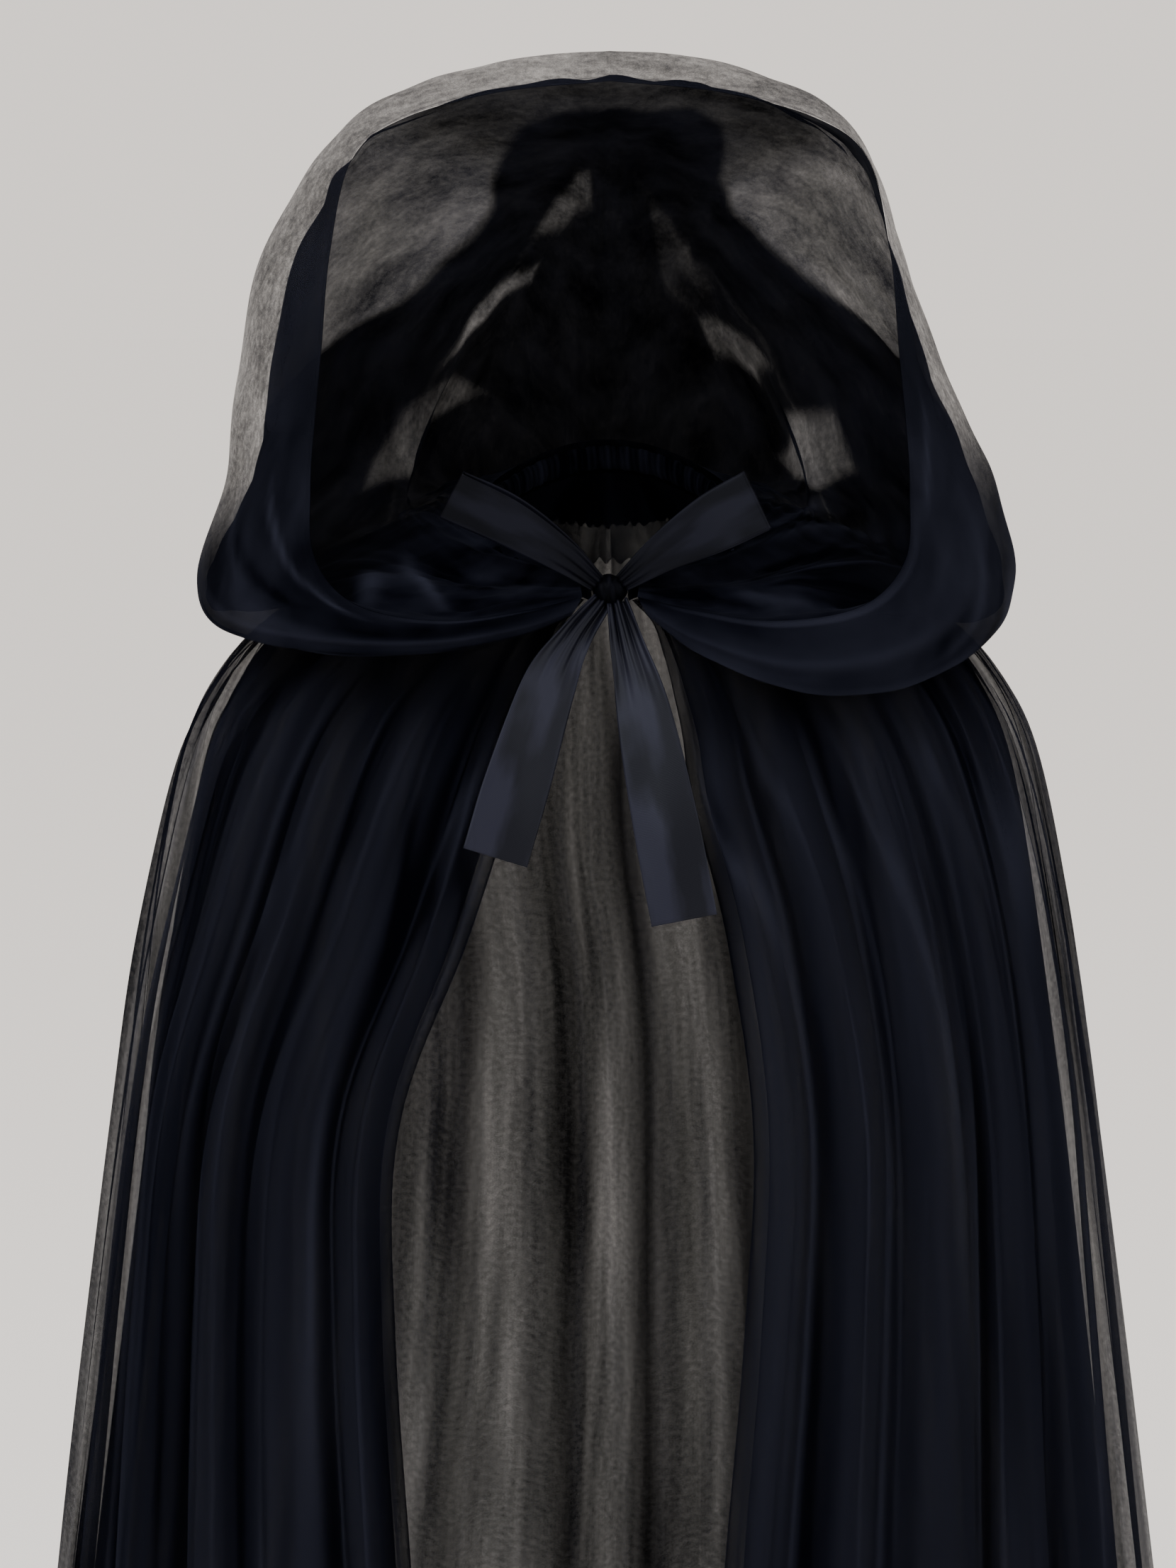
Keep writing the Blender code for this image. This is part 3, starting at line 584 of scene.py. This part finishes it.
hood = {
    # per section: rim, side, back and fall as x, y, z, then neckDegrees, rightSide, rightDrop
    "sections": (
        (0.015, -0.108, -0.044, 0.021, -0.112, -0.054,
         0.024, -0.103, -0.055, 0.022, -0.096, -0.046, 15, 1.00, 0.000),
        (0.045, -0.121, -0.050, 0.053, -0.127, -0.064,
         0.057, -0.112, -0.064, 0.050, -0.097, -0.045, 33, 1.00, 0.010),
        (0.090, -0.138, -0.054, 0.106, -0.142, -0.071,
         0.103, -0.116, -0.068, 0.080, -0.088, -0.036, 50, 1.00, 0.019),
        (0.136, -0.139, -0.046, 0.168, -0.118, -0.072,
         0.156, -0.084, -0.068, 0.116, -0.064, -0.032, 66, 0.98, 0.016),
        (0.160, -0.130, -0.022, 0.222, -0.052, -0.066,
         0.194, -0.022, -0.058, 0.138, -0.012, -0.022, 82, 0.96, 0.006),
        (0.163, -0.120, 0.015, 0.240, 0.010, -0.044,
         0.204, 0.050, -0.050, 0.138, 0.036, -0.020, 98, 0.98, 0.000),
        (0.161, -0.115, 0.050, 0.222, 0.006, 0.014,
         0.194, 0.104, -0.026, 0.128, 0.090, -0.034, 114, 1.00, 0.000),
        (0.157, -0.110, 0.092, 0.215, 0.004, 0.068,
         0.172, 0.142, 0.012, 0.104, 0.116, -0.034, 131, 0.91, 0.000),
        (0.152, -0.105, 0.144, 0.199, 0.004, 0.134,
         0.136, 0.166, 0.058, 0.076, 0.132, -0.038, 146, 0.84, 0.000),
        (0.140, -0.100, 0.193, 0.162, 0.000, 0.190,
         0.098, 0.176, 0.088, 0.050, 0.142, -0.042, 158, 0.87, 0.000),
        (0.112, -0.096, 0.215, 0.122, -0.010, 0.221,
         0.064, 0.181, 0.104, 0.033, 0.147, -0.044, 166, 0.90, 0.000),
        (0.060, -0.092, 0.229, 0.062, -0.024, 0.240,
         0.031, 0.184, 0.115, 0.016, 0.149, -0.045, 173, 0.94, 0.000),
        (0.000, -0.090, 0.235, 0.000, -0.034, 0.246,
         0.000, 0.185, 0.119, 0.000, 0.150, -0.045, 180, 1.00, 0.000),
    ),
    "backDropShare": 1 / 3, "cowlFolds": 3.3, "creaseDepth": 0.003,
    "gathers": 46, "gatherDepth": 0.0022, "gatherFrom": 0.58, "gatherOver": 0.25,
    # small ripples: how many across, how high
    "ripples": ((9, 0.0005), (17, 0.0005), (31, 0.0004)), "rippleLean": 1.6,
    # density high up and in the cowl, and where it changes on each side: from, over
    "solid": 0.56, "lowSolid": 0.93, "lowLeft": (0.41, 0.12), "lowRight": (0.46, 0.12),
    # tones: even, less in the cowl, the lobe on its right, painted shade and highlights of the swags with
    # random streaks, painted light on folds and lines
    "even": 0.45, "cowl": 0.20, "lobe": 0.28, "swag": 0.27, "streak": 0.16, "swagShare": 0.5,
    "paintedCreaseShare": 0.3, "lineShare": 2.2,
    "grid": (420, 110),
    # painted highlight and painted shade lines along folds and along the rim: across, down to across, down,
    # width, tone
    "lines": (
        (0.235, 0.085, 0.140, 0.030, 0.005, 0.42), (0.152, 0.031, 0.118, 0.043, 0.005, 0.42),
        (0.97, 0.014, 0.80, 0.014, 0.007, 0.42), (0.03, 0.014, 0.11, 0.014, 0.007, 0.30),
        (0.80, 0.03, 0.72, 0.06, 0.006, 0.30), (0.86, 0.22, 0.78, 0.12, 0.010, 0.26),
        (0.88, 0.30, 0.79, 0.20, 0.007, -0.26), (0.20, 0.22, 0.11, 0.15, 0.010, 0.20),
        (0.21, 0.13, 0.15, 0.085, 0.008, -0.20), (0.26, 0.16, 0.18, 0.13, 0.007, 0.18)),
    # across, down to across, down, width, depth
    "creases": (
        (0.02, 0.16, 0.20, 0.14, 0.020, 0.0030), (0.02, 0.30, 0.24, 0.27, 0.022, -0.0030),
        (0.03, 0.48, 0.22, 0.42, 0.020, 0.0026), (0.10, 0.22, 0.34, 0.30, 0.024, 0.0015),
        (0.98, 0.15, 0.78, 0.12, 0.020, 0.0030), (0.98, 0.28, 0.74, 0.24, 0.024, 0.0034),
        (0.97, 0.44, 0.78, 0.40, 0.020, -0.0028), (0.90, 0.30, 0.66, 0.36, 0.022, -0.0014),
        (0.42, 0.12, 0.36, 0.44, 0.016, 0.0011), (0.50, 0.20, 0.49, 0.62, 0.018, 0.0010),
        (0.58, 0.10, 0.64, 0.50, 0.016, 0.0011), (0.30, 0.40, 0.40, 0.74, 0.018, -0.0024),
        (0.70, 0.42, 0.60, 0.76, 0.018, -0.0022), (0.46, 0.50, 0.44, 0.84, 0.014, 0.0024),
        (0.55, 0.52, 0.57, 0.86, 0.014, 0.0022), (0.24, 0.36, 0.30, 0.70, 0.016, 0.0022),
        (0.76, 0.34, 0.71, 0.72, 0.016, 0.0022)),
}


def hoodKnots(across):
    # control points of each section: rim, side, back, fall, neck seam
    right = across > 0.5
    sign = np.where(right, 1.0, -1.0)
    row = tableRows(hood["sections"], thereAndBack(across) * (len(hood["sections"]) - 1))
    points = row[:, :12].reshape(-1, 4, 3).copy()
    points[:, :, 0] *= sign[:, None]
    points[:, 1, 0] *= np.where(right, row[:, 13], 1.0)
    drop = np.where(right, row[:, 14], 0.0)
    points[:, 1, 2] -= drop
    points[:, 2, 2] -= drop * hood["backDropShare"]
    seam = neckPoints(sign * row[:, 12], neck["seamOut"], neck["seamUp"])
    return np.concatenate((points, seam[:, None, :]), axis=1)


def hoodForm(across, down):
    return alongPoints(hoodKnots(across), down * 4)


def hoodRelief(across, down, seed):
    gather = rise(down, hood["gatherFrom"], hood["gatherOver"]) * easeIn((1 - down) * 12)
    drift = 0.8 * softNoise(across, down, (12, 3), seed)
    relief = hood["gatherDepth"] * gather * np.sin(2 * math.pi * (hood["gathers"] * across + drift))
    fade = easeIn(down * 9) * easeIn((1 - down) * 6) * easeIn(across * 14) * easeIn((1 - across) * 14)
    for number, (count, height) in enumerate(hood["ripples"]):
        lean = hood["rippleLean"] * softNoise(across, down, (6, 4), seed + 3 + number)
        strength = 0.5 + 0.5 * softNoise(across, down, (9, 5), seed + 20 + number)
        relief += height * fade * strength * np.sin(2 * math.pi * (count * across + lean))
    return relief + creaseRelief(across, down, hood["creases"]) * easeIn(down * 12) * easeIn((1 - down) * 8)


def hoodOuter(across, down):
    out = hoodRelief(across, down, 300)
    return hoodForm(across, down) + normals(hoodForm, across, down) * out[:, None]


def hoodSolid(across, down):
    # the cowl is folded double, so it is denser than the rest
    up = thereAndBack(across)
    left, right = [1 - rise(up, start, over) for start, over in (hood["lowLeft"], hood["lowRight"])]
    return hood["solid"] + (hood["lowSolid"] - hood["solid"]) * np.where(across < 0.5, left, right)


def inCowl(across):
    # 1 in the cowl, 0 above it
    return 1 - rise(thereAndBack(across), 0.42, 0.2)


def cowlPaintedShadeAndTone(across, down, seed):
    # painted shade in the folds of the cowl, painted highlights along their crests, and random streaks
    swag = hood["cowlFolds"] * down + 0.8 * softNoise(across, down, (9, 2), seed)
    fine = softNoise(across, down, (12, 60), seed + 1)
    broad = softNoise(across, down, (30, 24), seed + 2)
    streak = 0.5 * fine + 0.5 * broad
    return inCowl(across) * (hood["swag"] * np.sin(2 * math.pi * swag) + hood["streak"] * streak)


def hoodPaintedLightAndTone(across, down):
    low = inCowl(across)
    creases = creaseRelief(across, down, hood["creases"]) / hood["creaseDepth"]
    lines = creaseRelief(across, down, hood["lines"])
    right = rise(across, 0.74, 0.06)
    tone = hood["even"] - hood["cowl"] * low + hood["lobe"] * low * right * easeIn(down / 0.12)
    tone += hood["swagShare"] * cowlPaintedShadeAndTone(across, down, 470)
    # painted highlights and painted shade on the creases and along the fold lines
    tone += hood["paintedCreaseShare"] * creases + hood["lineShare"] * lines
    return np.clip(tone, 0.0, 2.0)


hoodSheet = sheetMesh("hood_outer_net", *hood["grid"], hoodOuter, hoodSolid,
                      materialNamed("hoodNet"), hoodPaintedLightAndTone)
print("hood hung")


# Lining of the hood, which hangs inside it as a tent

lining = {
    # from section 4 up: leftGap, rightGap, then ridge and tent as x, y, z
    "sections": (
        (0.0032, 0.0032, 0.182, -0.022, -0.046, 0.130, -0.012, -0.012),
        (0.0050, 0.0045, 0.178, 0.022, -0.026, 0.126, 0.034, -0.006),
        (0.0150, 0.0100, 0.166, 0.010, 0.028, 0.122, 0.064, 0.012),
        (0.0190, 0.0080, 0.148, -0.004, 0.084, 0.108, 0.076, 0.056),
        (0.0190, 0.0070, 0.110, -0.010, 0.124, 0.084, 0.080, 0.098),
        (0.0170, 0.0090, 0.072, -0.010, 0.162, 0.058, 0.080, 0.130),
        (0.0130, 0.0100, 0.064, -0.010, 0.190, 0.040, 0.074, 0.154),
        (0.0090, 0.0080, 0.040, -0.010, 0.212, 0.018, 0.064, 0.182),
        (0.0080, 0.0080, 0.000, -0.010, 0.219, 0.000, 0.060, 0.192)),
    "foot": 4, "spanSag": 0.001, "spanEnds": 2.5, "spanBlend": 2.0, "backBlend": 4.0,
    "rimSeam": 0.0004, "sideAt": 0.25, "fallAt": 0.84, "fallGap": 0.018, "backIn": (0.70, 0.70, 0.75),
    "seamUp": 0.0034, "grid": (420, 130),
    # small ripples: how many across, how high
    "ripples": ((11, 0.0016), (23, 0.0012), (41, 0.0007)), "rippleLean": 2.2,
    "gathers": 58, "gatherDepth": 0.0016,
    "swags": 3.4, "swagDepth": 0.0032, "lineDepth": 0.005,
    # tones: even, where it is sheer, painted shade and highlights in the swags, uneven, and painted
    # highlight and painted shade lines
    "even": 0.24, "sheer": 0.7, "swagShare": 0.22, "uneven": 0.10, "lineShare": 2.2,
    # density: beside the tent, over it, in its band, at the front edge and behind
    "leftSolid": 0.895, "rightSolid": 0.85, "topSolid": 0.972, "bandSolid": 0.997, "rimSolid": 0.93,
    "rightRim": 0.993, "backSolid": 0.996,
    # where the dense band of the tent begins: across, down
    "bandFrom": ((0.24, -0.05), (0.27, 0.10), (0.30, 0.260), (0.322, 0.320), (0.40, 0.325),
                 (0.45, 0.295), (0.52, 0.285), (0.54, 0.245), (0.56, 0.255), (0.587, 0.330),
                 (0.635, 0.308), (0.661, 0.297), (0.68, 0.275), (0.70, 0.235), (0.72, 0.12),
                 (0.75, -0.05)),
    # folds, as relief and as painted lighter or darker lines of highlight and shade: across, down to
    # across, down, width, tone
    "lines": (
        (0.865, 0.72, 0.775, 0.46, 0.016, 0.30), (0.868, 0.64, 0.785, 0.41, 0.006, -0.40),
        (0.880, 0.60, 0.800, 0.385, 0.008, 0.32), (0.893, 0.50, 0.850, 0.385, 0.010, -0.40),
        (0.898, 0.37, 0.825, 0.34, 0.008, 0.34), (0.900, 0.30, 0.865, 0.22, 0.010, -0.40),
        (0.925, 0.25, 0.895, 0.12, 0.012, 0.20), (0.125, 0.10, 0.130, 0.34, 0.005, 0.44),
        (0.130, 0.46, 0.087, 0.10, 0.005, 0.40), (0.150, 0.36, 0.135, 0.14, 0.010, -0.34),
        (0.108, 0.50, 0.082, 0.30, 0.014, -0.32)),
    # sheer patches of the tent's back: how solid, then corners as across, down
    "patches": (
        (0.94, (0.235, 0.425), (0.277, 0.455), (0.361, 0.673), (0.389, 0.700), (0.342, 0.730),
         (0.290, 0.760)),
        (0.90, (0.316, 0.502), (0.345, 0.484), (0.380, 0.510), (0.352, 0.532)),
        (0.90, (0.372, 0.503), (0.412, 0.548), (0.406, 0.560), (0.368, 0.520)),
        (0.955, (0.404, 0.482), (0.473, 0.488), (0.475, 0.534), (0.440, 0.530)),
        (0.968, (0.560, 0.500), (0.640, 0.500), (0.600, 0.602), (0.570, 0.600), (0.556, 0.520)),
        (0.915, (0.604, 0.600), (0.655, 0.545), (0.690, 0.500), (0.665, 0.600), (0.620, 0.642)),
        (0.915, (0.702, 0.600), (0.727, 0.430), (0.755, 0.415), (0.765, 0.500), (0.712, 0.700),
         (0.690, 0.700))),
    "patchSoft": 0.018, "patchUneven": 0.03,
}


def liningKnots(across):
    sign = np.where(across > 0.5, 1.0, -1.0)
    place = thereAndBack(across) * (len(hood["sections"]) - 1)
    row = tableRows(lining["sections"], place - lining["foot"])
    outer = hoodKnots(across)
    same = np.zeros_like(across)
    rim = outer[:, 0] - normals(hoodForm, across, same) * lining["rimSeam"]
    gap = np.where(sign > 0, row[:, 1], row[:, 0])
    side = outer[:, 1] - normals(hoodForm, across, same + lining["sideAt"]) * gap[:, None]
    ridge = np.column_stack((sign * row[:, 2], row[:, 3], row[:, 4]))
    tent = np.column_stack((sign * row[:, 5], row[:, 6], row[:, 7]))
    fall = (hoodForm(across, same + lining["fallAt"])
            - normals(hoodForm, across, same + lining["fallAt"]) * lining["fallGap"])
    seam = outer[:, 4] + np.array((0, 0, lining["seamUp"]))
    behind = rise(place, lining["foot"], lining["backBlend"])[:, None]
    free = rise(place, lining["spanEnds"], lining["spanBlend"])[:, None]
    back = outer[:, 2] * np.array(lining["backIn"])
    hanging = [rim, side, ridge, tent,
               (tent * 2 + seam) / 3 * (1 - behind) + back * behind,
               (tent + seam * 2) / 3 * (1 - behind) + fall * behind, seam]
    last = len(hanging) - 1
    points = []
    for index, point in enumerate(hanging):
        span = rim + (seam - rim) * index / last
        span[:, 2] -= lining["spanSag"] * math.sin(math.pi * index / last)
        points.append(span * (1 - free) + point * free)
    return np.stack(points, axis=1)


def liningForm(across, down):
    return alongPoints(liningKnots(across), down * 6)


def liningDrape(across, down):
    ends = easeIn(across * 16) * easeIn((1 - across) * 16)
    gather = rise(down, 0.70, 0.2) * easeIn((1 - down) * 14) * ends
    drift = 0.8 * softNoise(across, down, (14, 3), 400)
    out = lining["gatherDepth"] * gather * np.sin(2 * math.pi * (lining["gathers"] * across + drift))
    fade = easeIn(down * 9) * easeIn((1 - down) * 6) * ends
    for number, (count, height) in enumerate(lining["ripples"]):
        lean = lining["rippleLean"] * softNoise(across, down, (7, 6), 410 + number)
        strength = 0.5 + 0.5 * softNoise(across, down, (10, 8), 420 + number)
        out += height * fade * strength * np.sin(2 * math.pi * (count * across + lean + 3 * down))
    low = (1 - rise(thereAndBack(across), 0.26, 0.1)) * fade
    swag = lining["swags"] * down + 0.5 * softNoise(across, down, (5, 2), 440)
    out += lining["swagDepth"] * low * np.sin(2 * math.pi * swag)
    out -= lining["lineDepth"] * creaseRelief(across, down, lining["lines"]) * fade
    return liningForm(across, down) + normals(liningForm, across, down) * out[:, None]


def patchAt(across, down, corners, soft):
    # 1 inside a patch of the cloth whose corners are given in order, 0 outside
    stretch = np.array((2.0, 1.0))
    outline = np.array(corners) * stretch
    middle = outline.mean(axis=0)
    inside = np.ones_like(across)
    for first, second in zip(outline, np.roll(outline, -1, axis=0)):
        along = (second - first) / np.linalg.norm(second - first)
        away = along[0] * (down - first[1]) - along[1] * (across * stretch[0] - first[0])
        inward = np.sign(along[0] * (middle[1] - first[1]) - along[1] * (middle[0] - first[0]))
        inside = np.minimum(inside, easeIn(away * inward / soft + 0.5))
    return inside


def liningSolid(across, down):
    # sheer on the way from the front edge to the ridge, dense where the tent folds over:
    # each area rises over a short way, and later ones cover earlier ones
    wander = softNoise(across, down, (30, 16), 430)
    down = down + 0.006 * wander
    start = np.interp(across, *np.array(lining["bandFrom"]).T)
    band = rise(down, start, 0.03) * (1 - rise(down, 0.485, 0.015))
    rim = 1 - rise(down, 0.05, 0.03)
    rightRim = (1 - rise(down, 0.075, 0.02)) * rise(across, 0.54, 0.06)
    behind = rise(down, 0.47, 0.03)
    toRight = rise(across, 0.45, 0.1)
    solid = lining["leftSolid"] + (lining["rightSolid"] - lining["leftSolid"]) * toRight
    top = rise(across, 0.39, 0.06) * (1 - rise(across, 0.57, 0.07))
    for share, name in ((top, "topSolid"), (rim, "rimSolid"), (rightRim, "rightRim"),
                        (behind, "backSolid"), (band, "bandSolid")):
        solid += (lining[name] - solid) * share
    for sheer, *corners in lining["patches"]:
        uneven = sheer + lining["patchUneven"] * wander
        solid += (uneven - solid) * patchAt(across, down, corners, lining["patchSoft"])
    return solid


def liningPaintedLightAndTone(across, down):
    sheer = easeIn((0.95 - liningSolid(across, down)) / 0.05)
    # lighter where sheer, with painted shade and highlights of the swags, random unevenness and painted
    # fold lines
    tone = lining["even"] + lining["sheer"] * sheer + lining["swagShare"] * cowlPaintedShadeAndTone(across, down, 480)
    tone += lining["uneven"] * softNoise(across, down, (40, 18), 483)
    tone += lining["lineShare"] * creaseRelief(across, down, lining["lines"])
    return np.clip(tone, 0.0, 2.0)


liningSheet = sheetMesh("hood_lining_net", *lining["grid"], liningDrape, liningSolid,
                        materialNamed("liningNet"), liningPaintedLightAndTone)
print("lining draped")


# Ruched casing round the neck

# the ruches' tones, even and ridge, paint highlights on their ridges and shade between them
casing = {"height": 0.014, "thickness": 0.006, "startDegrees": 9.3, "ruches": 36, "ruche": 0.16,
          "fine": 97, "fineDepth": 0.05, "grid": (720, 24), "solid": 0.97,
          "even": 0.14, "ridge": 0.12}  # tones


def casingPoints(across, around):
    degrees = -(casing["startDegrees"] + (360 - 2 * casing["startDegrees"]) * across)
    turn = -2 * math.pi * around
    ruche = 1 + casing["ruche"] * np.cos(2 * math.pi * casing["ruches"] * across)
    ruche += casing["fineDepth"] * np.sin(2 * math.pi * (casing["fine"] * across + around))
    out = casing["thickness"] / 2 * np.cos(turn) * ruche
    up = casing["height"] / 2 * np.sin(turn) * (1 + 0.3 * (ruche - 1))
    points = ringPoints(np.radians(degrees), neck["sideZ"], neck["frontZ"], neck["backZ"],
                        neck["halfWidth"] + out, neck["front"] + out, neck["back"] + out)
    points[:, 2] += up
    return points


def closeTube(made):
    mesh = bmesh.new()
    mesh.from_mesh(made.data)
    bmesh.ops.remove_doubles(mesh, verts=mesh.verts, dist=0.00002)
    bmesh.ops.holes_fill(mesh, edges=mesh.edges)
    bmesh.ops.recalc_face_normals(mesh, faces=mesh.faces)
    mesh.to_mesh(made.data)
    mesh.free()


def casingPaintedShade(across, around):
    # painted highlights on the ruches' ridges, painted shade between them
    gathers = np.cos(2 * math.pi * casing["ruches"] * across)
    gathers += np.cos(2 * math.pi * (casing["fine"] * across + around))
    return np.clip(casing["even"] + casing["ridge"] * gathers, 0.0, 1.0)


casingPiece = sheetMesh("neck_casing_net", *casing["grid"], casingPoints, evenSolid(casing["solid"]),
                        materialNamed("casingNet"), casingPaintedShade)
closeTube(casingPiece)
print("neck ruched")


# Ribbon bow

bow = {
    "wall": 0.0008, "tailLengths": {"left": 0.16, "right": 0.185},
    "loopGrid": (24, 128), "tailGrid": (30, 96),
    # tails: creases that fade out from the knot, finer pleats in them, and a slow sway
    "creases": 2, "crease": 0.0016, "creaseFade": 1.7, "pleats": 5, "pleat": 0.0009, "sway": 0.0016,
    # loops: the share of the way out at which they turn, how far apart their layers are, and puckers
    "turn": 7 / 8, "opening": 0.0060, "fold": 0.0030, "pucker": 0.0007,
    # per route: x, y, z, width, tilt in degrees
    "loop_left": ((-0.0070, -0.0985, -0.0372, 0.010, 0), (-0.0270, -0.1090, -0.0200, 0.019, 12),
                  (-0.0560, -0.1180, -0.0010, 0.028, 22), (-0.0860, -0.1220, 0.0130, 0.031, 26)),
    "loop_right": ((0.0070, -0.0985, -0.0372, 0.010, 0), (0.0290, -0.1090, -0.0200, 0.021, 10),
                   (0.0560, -0.1180, -0.0030, 0.032, 16), (0.0800, -0.1220, 0.0100, 0.035, 18)),
    "tail_left": ((-0.0045, -0.1000, -0.0475, 0.011, 0), (-0.0200, -0.1190, -0.0660, 0.019, 10),
                  (-0.0340, -0.1360, -0.0920, 0.031, 14), (-0.0500, -0.1560, -0.1400, 0.036, 8),
                  (-0.0620, -0.1680, -0.1790, 0.036, 4)),
    "tail_right": ((0.0043, -0.1002, -0.0478, 0.011, 0), (0.0100, -0.1190, -0.0700, 0.019, -8),
                   (0.0180, -0.1360, -0.1030, 0.030, -12), (0.0300, -0.1580, -0.1620, 0.036, -6),
                   (0.0400, -0.1700, -0.2130, 0.036, -2)),
}


def routeFrames(route, along):
    last = len(route) - 1
    row = tableRows(route, along * last)
    step = 0.01
    before = tableRows(route, np.maximum(along - step, 0) * last)[:, :3]
    after = tableRows(route, np.minimum(along + step, 1) * last)[:, :3]
    forward = unit(after - before)
    side = unit(np.cross(forward, np.array((0.0, -1.0, 0.0))))
    face = unit(np.cross(side, forward))
    tilt = np.radians(row[:, 4])[:, None]
    wideWay = side * np.cos(tilt) + face * np.sin(tilt)
    return row[:, :3], row[:, 3], wideWay, unit(np.cross(wideWay, forward))


def tailPlace(route):
    def place(across, down):
        middle, width, wideWay, faceWay = routeFrames(route, down)
        fade = 1 - easeIn(down * bow["creaseFade"])
        out = bow["crease"] * fade * np.cos(2 * math.pi * bow["creases"] * across)
        out += bow["pleat"] * fade * np.sin(2 * math.pi * (bow["pleats"] * across + 0.6 * down))
        out += bow["sway"] * softNoise(across, down, (2, 5), 500) * easeIn(down * 3)
        return middle + wideWay * (width * (across - 0.5))[:, None] + faceWay * out[:, None]
    return place


def loopPlace(route):
    # out along the route as the upper layer, and back as the lower one
    def place(across, down):
        out = np.minimum(thereAndBack(down) / bow["turn"], 1)
        middle, width, wideWay, faceWay = routeFrames(route, out)
        apart = bow["fold"] + (bow["opening"] - bow["fold"]) * np.sin(math.pi * out)
        ply = np.clip((0.5 - down) * 16, -1, 1)
        waves = np.sin(2 * math.pi * (3 * across + 0.3))
        pucker = bow["pucker"] * (1 - easeIn(out * 1.6)) * waves * np.abs(ply)
        lift = (apart * ply / 2 + pucker)[:, None]
        return middle + wideWay * (width * (across - 0.5))[:, None] + faceWay * lift
    return place


def tailPaintedShade(across, down):
    # painted shade in the gathers at the knot, then soft slanting creases of painted shade and highlight
    near = 1 - easeIn(down * bow["creaseFade"])
    gathers = 0.5 + 0.5 * np.cos(2 * math.pi * bow["creases"] * across)
    slanting = softNoise(across, np.clip(down + 0.12 * across, 0, 1), (2, 11), 505)
    return np.clip(1.1 - near * (1.0 - 0.5 * gathers) + 0.4 * slanting, 0, 2)


def loopPaintedShade(across, down):
    # the same painted shade and highlight for the loops
    out = thereAndBack(down)
    slanting = softNoise(across, np.clip(out + 0.2 * across, 0, 1), (2, 8), 506)
    return np.clip(1.2 - 0.9 * (1 - easeIn(out * 1.6)) + 0.5 * slanting, 0, 2)


def addWall(made):
    wall = made.modifiers.new("Wall", "SOLIDIFY")
    wall.thickness = bow["wall"]
    wall.offset = 0.0


knot = {"centre": (0.0, -0.0945, -0.042), "radii": (0.0098, 0.0088, 0.0092), "cloth": 0.07,
        "grid": (96, 48),
        # shares of the radius: turns of ribbon round it, the crease between them, how full it is
        "turns": 0.045, "crease": 0.05, "creaseWidth": 0.12, "full": 0.98}


def makeKnot():
    mesh = bmesh.new()
    layer = mesh.loops.layers.uv.new("cloth")
    toneAndPaintedLight = mesh.verts.layers.float.new("toneAndPaintedLight")
    around, high = knot["grid"]
    bmesh.ops.create_uvsphere(mesh, u_segments=around, v_segments=high, radius=1.0, calc_uvs=True)
    for face in mesh.faces:
        for corner in face.loops:
            corner[layer].uv *= knot["cloth"]
    for point in mesh.verts:
        turn = math.atan2(point.co.x, -point.co.y)
        wrap = 1 + knot["turns"] * math.sin(7 * point.co.x + 2.2 * point.co.z + 1.5 * math.sin(2 * turn))
        wrap -= knot["crease"] * math.exp(-((point.co.x - 0.25 * point.co.z) / knot["creaseWidth"]) ** 2)
        point.co *= wrap * knot["full"]
        # painted shade in the crease between the turns, lighter on the turns
        point[toneAndPaintedLight] = max(0.0, 1 + 9 * (wrap - 1))
    bmesh.ops.scale(mesh, vec=knot["radii"], verts=mesh.verts)
    bmesh.ops.translate(mesh, vec=knot["centre"], verts=mesh.verts)
    data = bpy.data.meshes.new("bow_knot_satin")
    mesh.to_mesh(data)
    mesh.free()
    data.materials.append(materialNamed("knotSatinShaded"))
    data.shade_smooth()
    made = bpy.data.objects.new("bow_knot_satin", data)
    bpy.context.scene.collection.objects.link(made)
    return made


def makeBow():
    made = {}
    loop = (loopPlace, loopPaintedShade, "loopGrid", "loopSatinShaded")
    tail = (tailPlace, tailPaintedShade, "tailGrid", "tailSatin")
    for name, (place, toneAndPaintedLight, grid, satin) in (("loop_left", loop), ("loop_right", loop),
                                              ("tail_left", tail), ("tail_right", tail)):
        ribbon = sheetMesh(name + "_satin", *bow[grid], place(bow[name]), evenSolid(1.0),
                           materialNamed(satin), toneAndPaintedLight)
        addWall(ribbon)
        made[name] = ribbon
    made["knot"] = makeKnot()
    return made


bowPieces = makeBow()
print("bow tied")


# What each piece stands for, and the cut of each sheet

sewn = (
    (capeOuterSheet, "cape_outer", "net"),
    (capeInnerSheet, "cape_inner", "net"),
    (hoodSheet, "hood_outer", "net"),
    (liningSheet, "hood_lining", "net"),
    (casingPiece, "neck_casing", "net"),
    (bowPieces["knot"], "bow_knot", "satin"),
    (bowPieces["loop_left"], "bow_loop_left", "satin"),
    (bowPieces["loop_right"], "bow_loop_right", "satin"),
    (bowPieces["tail_left"], "ribbon_tail_left", "satin"),
    (bowPieces["tail_right"], "ribbon_tail_right", "satin"),
)
for piece, node, slotName in sewn:
    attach(piece, "root")
    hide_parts(node)

print("pieces named")
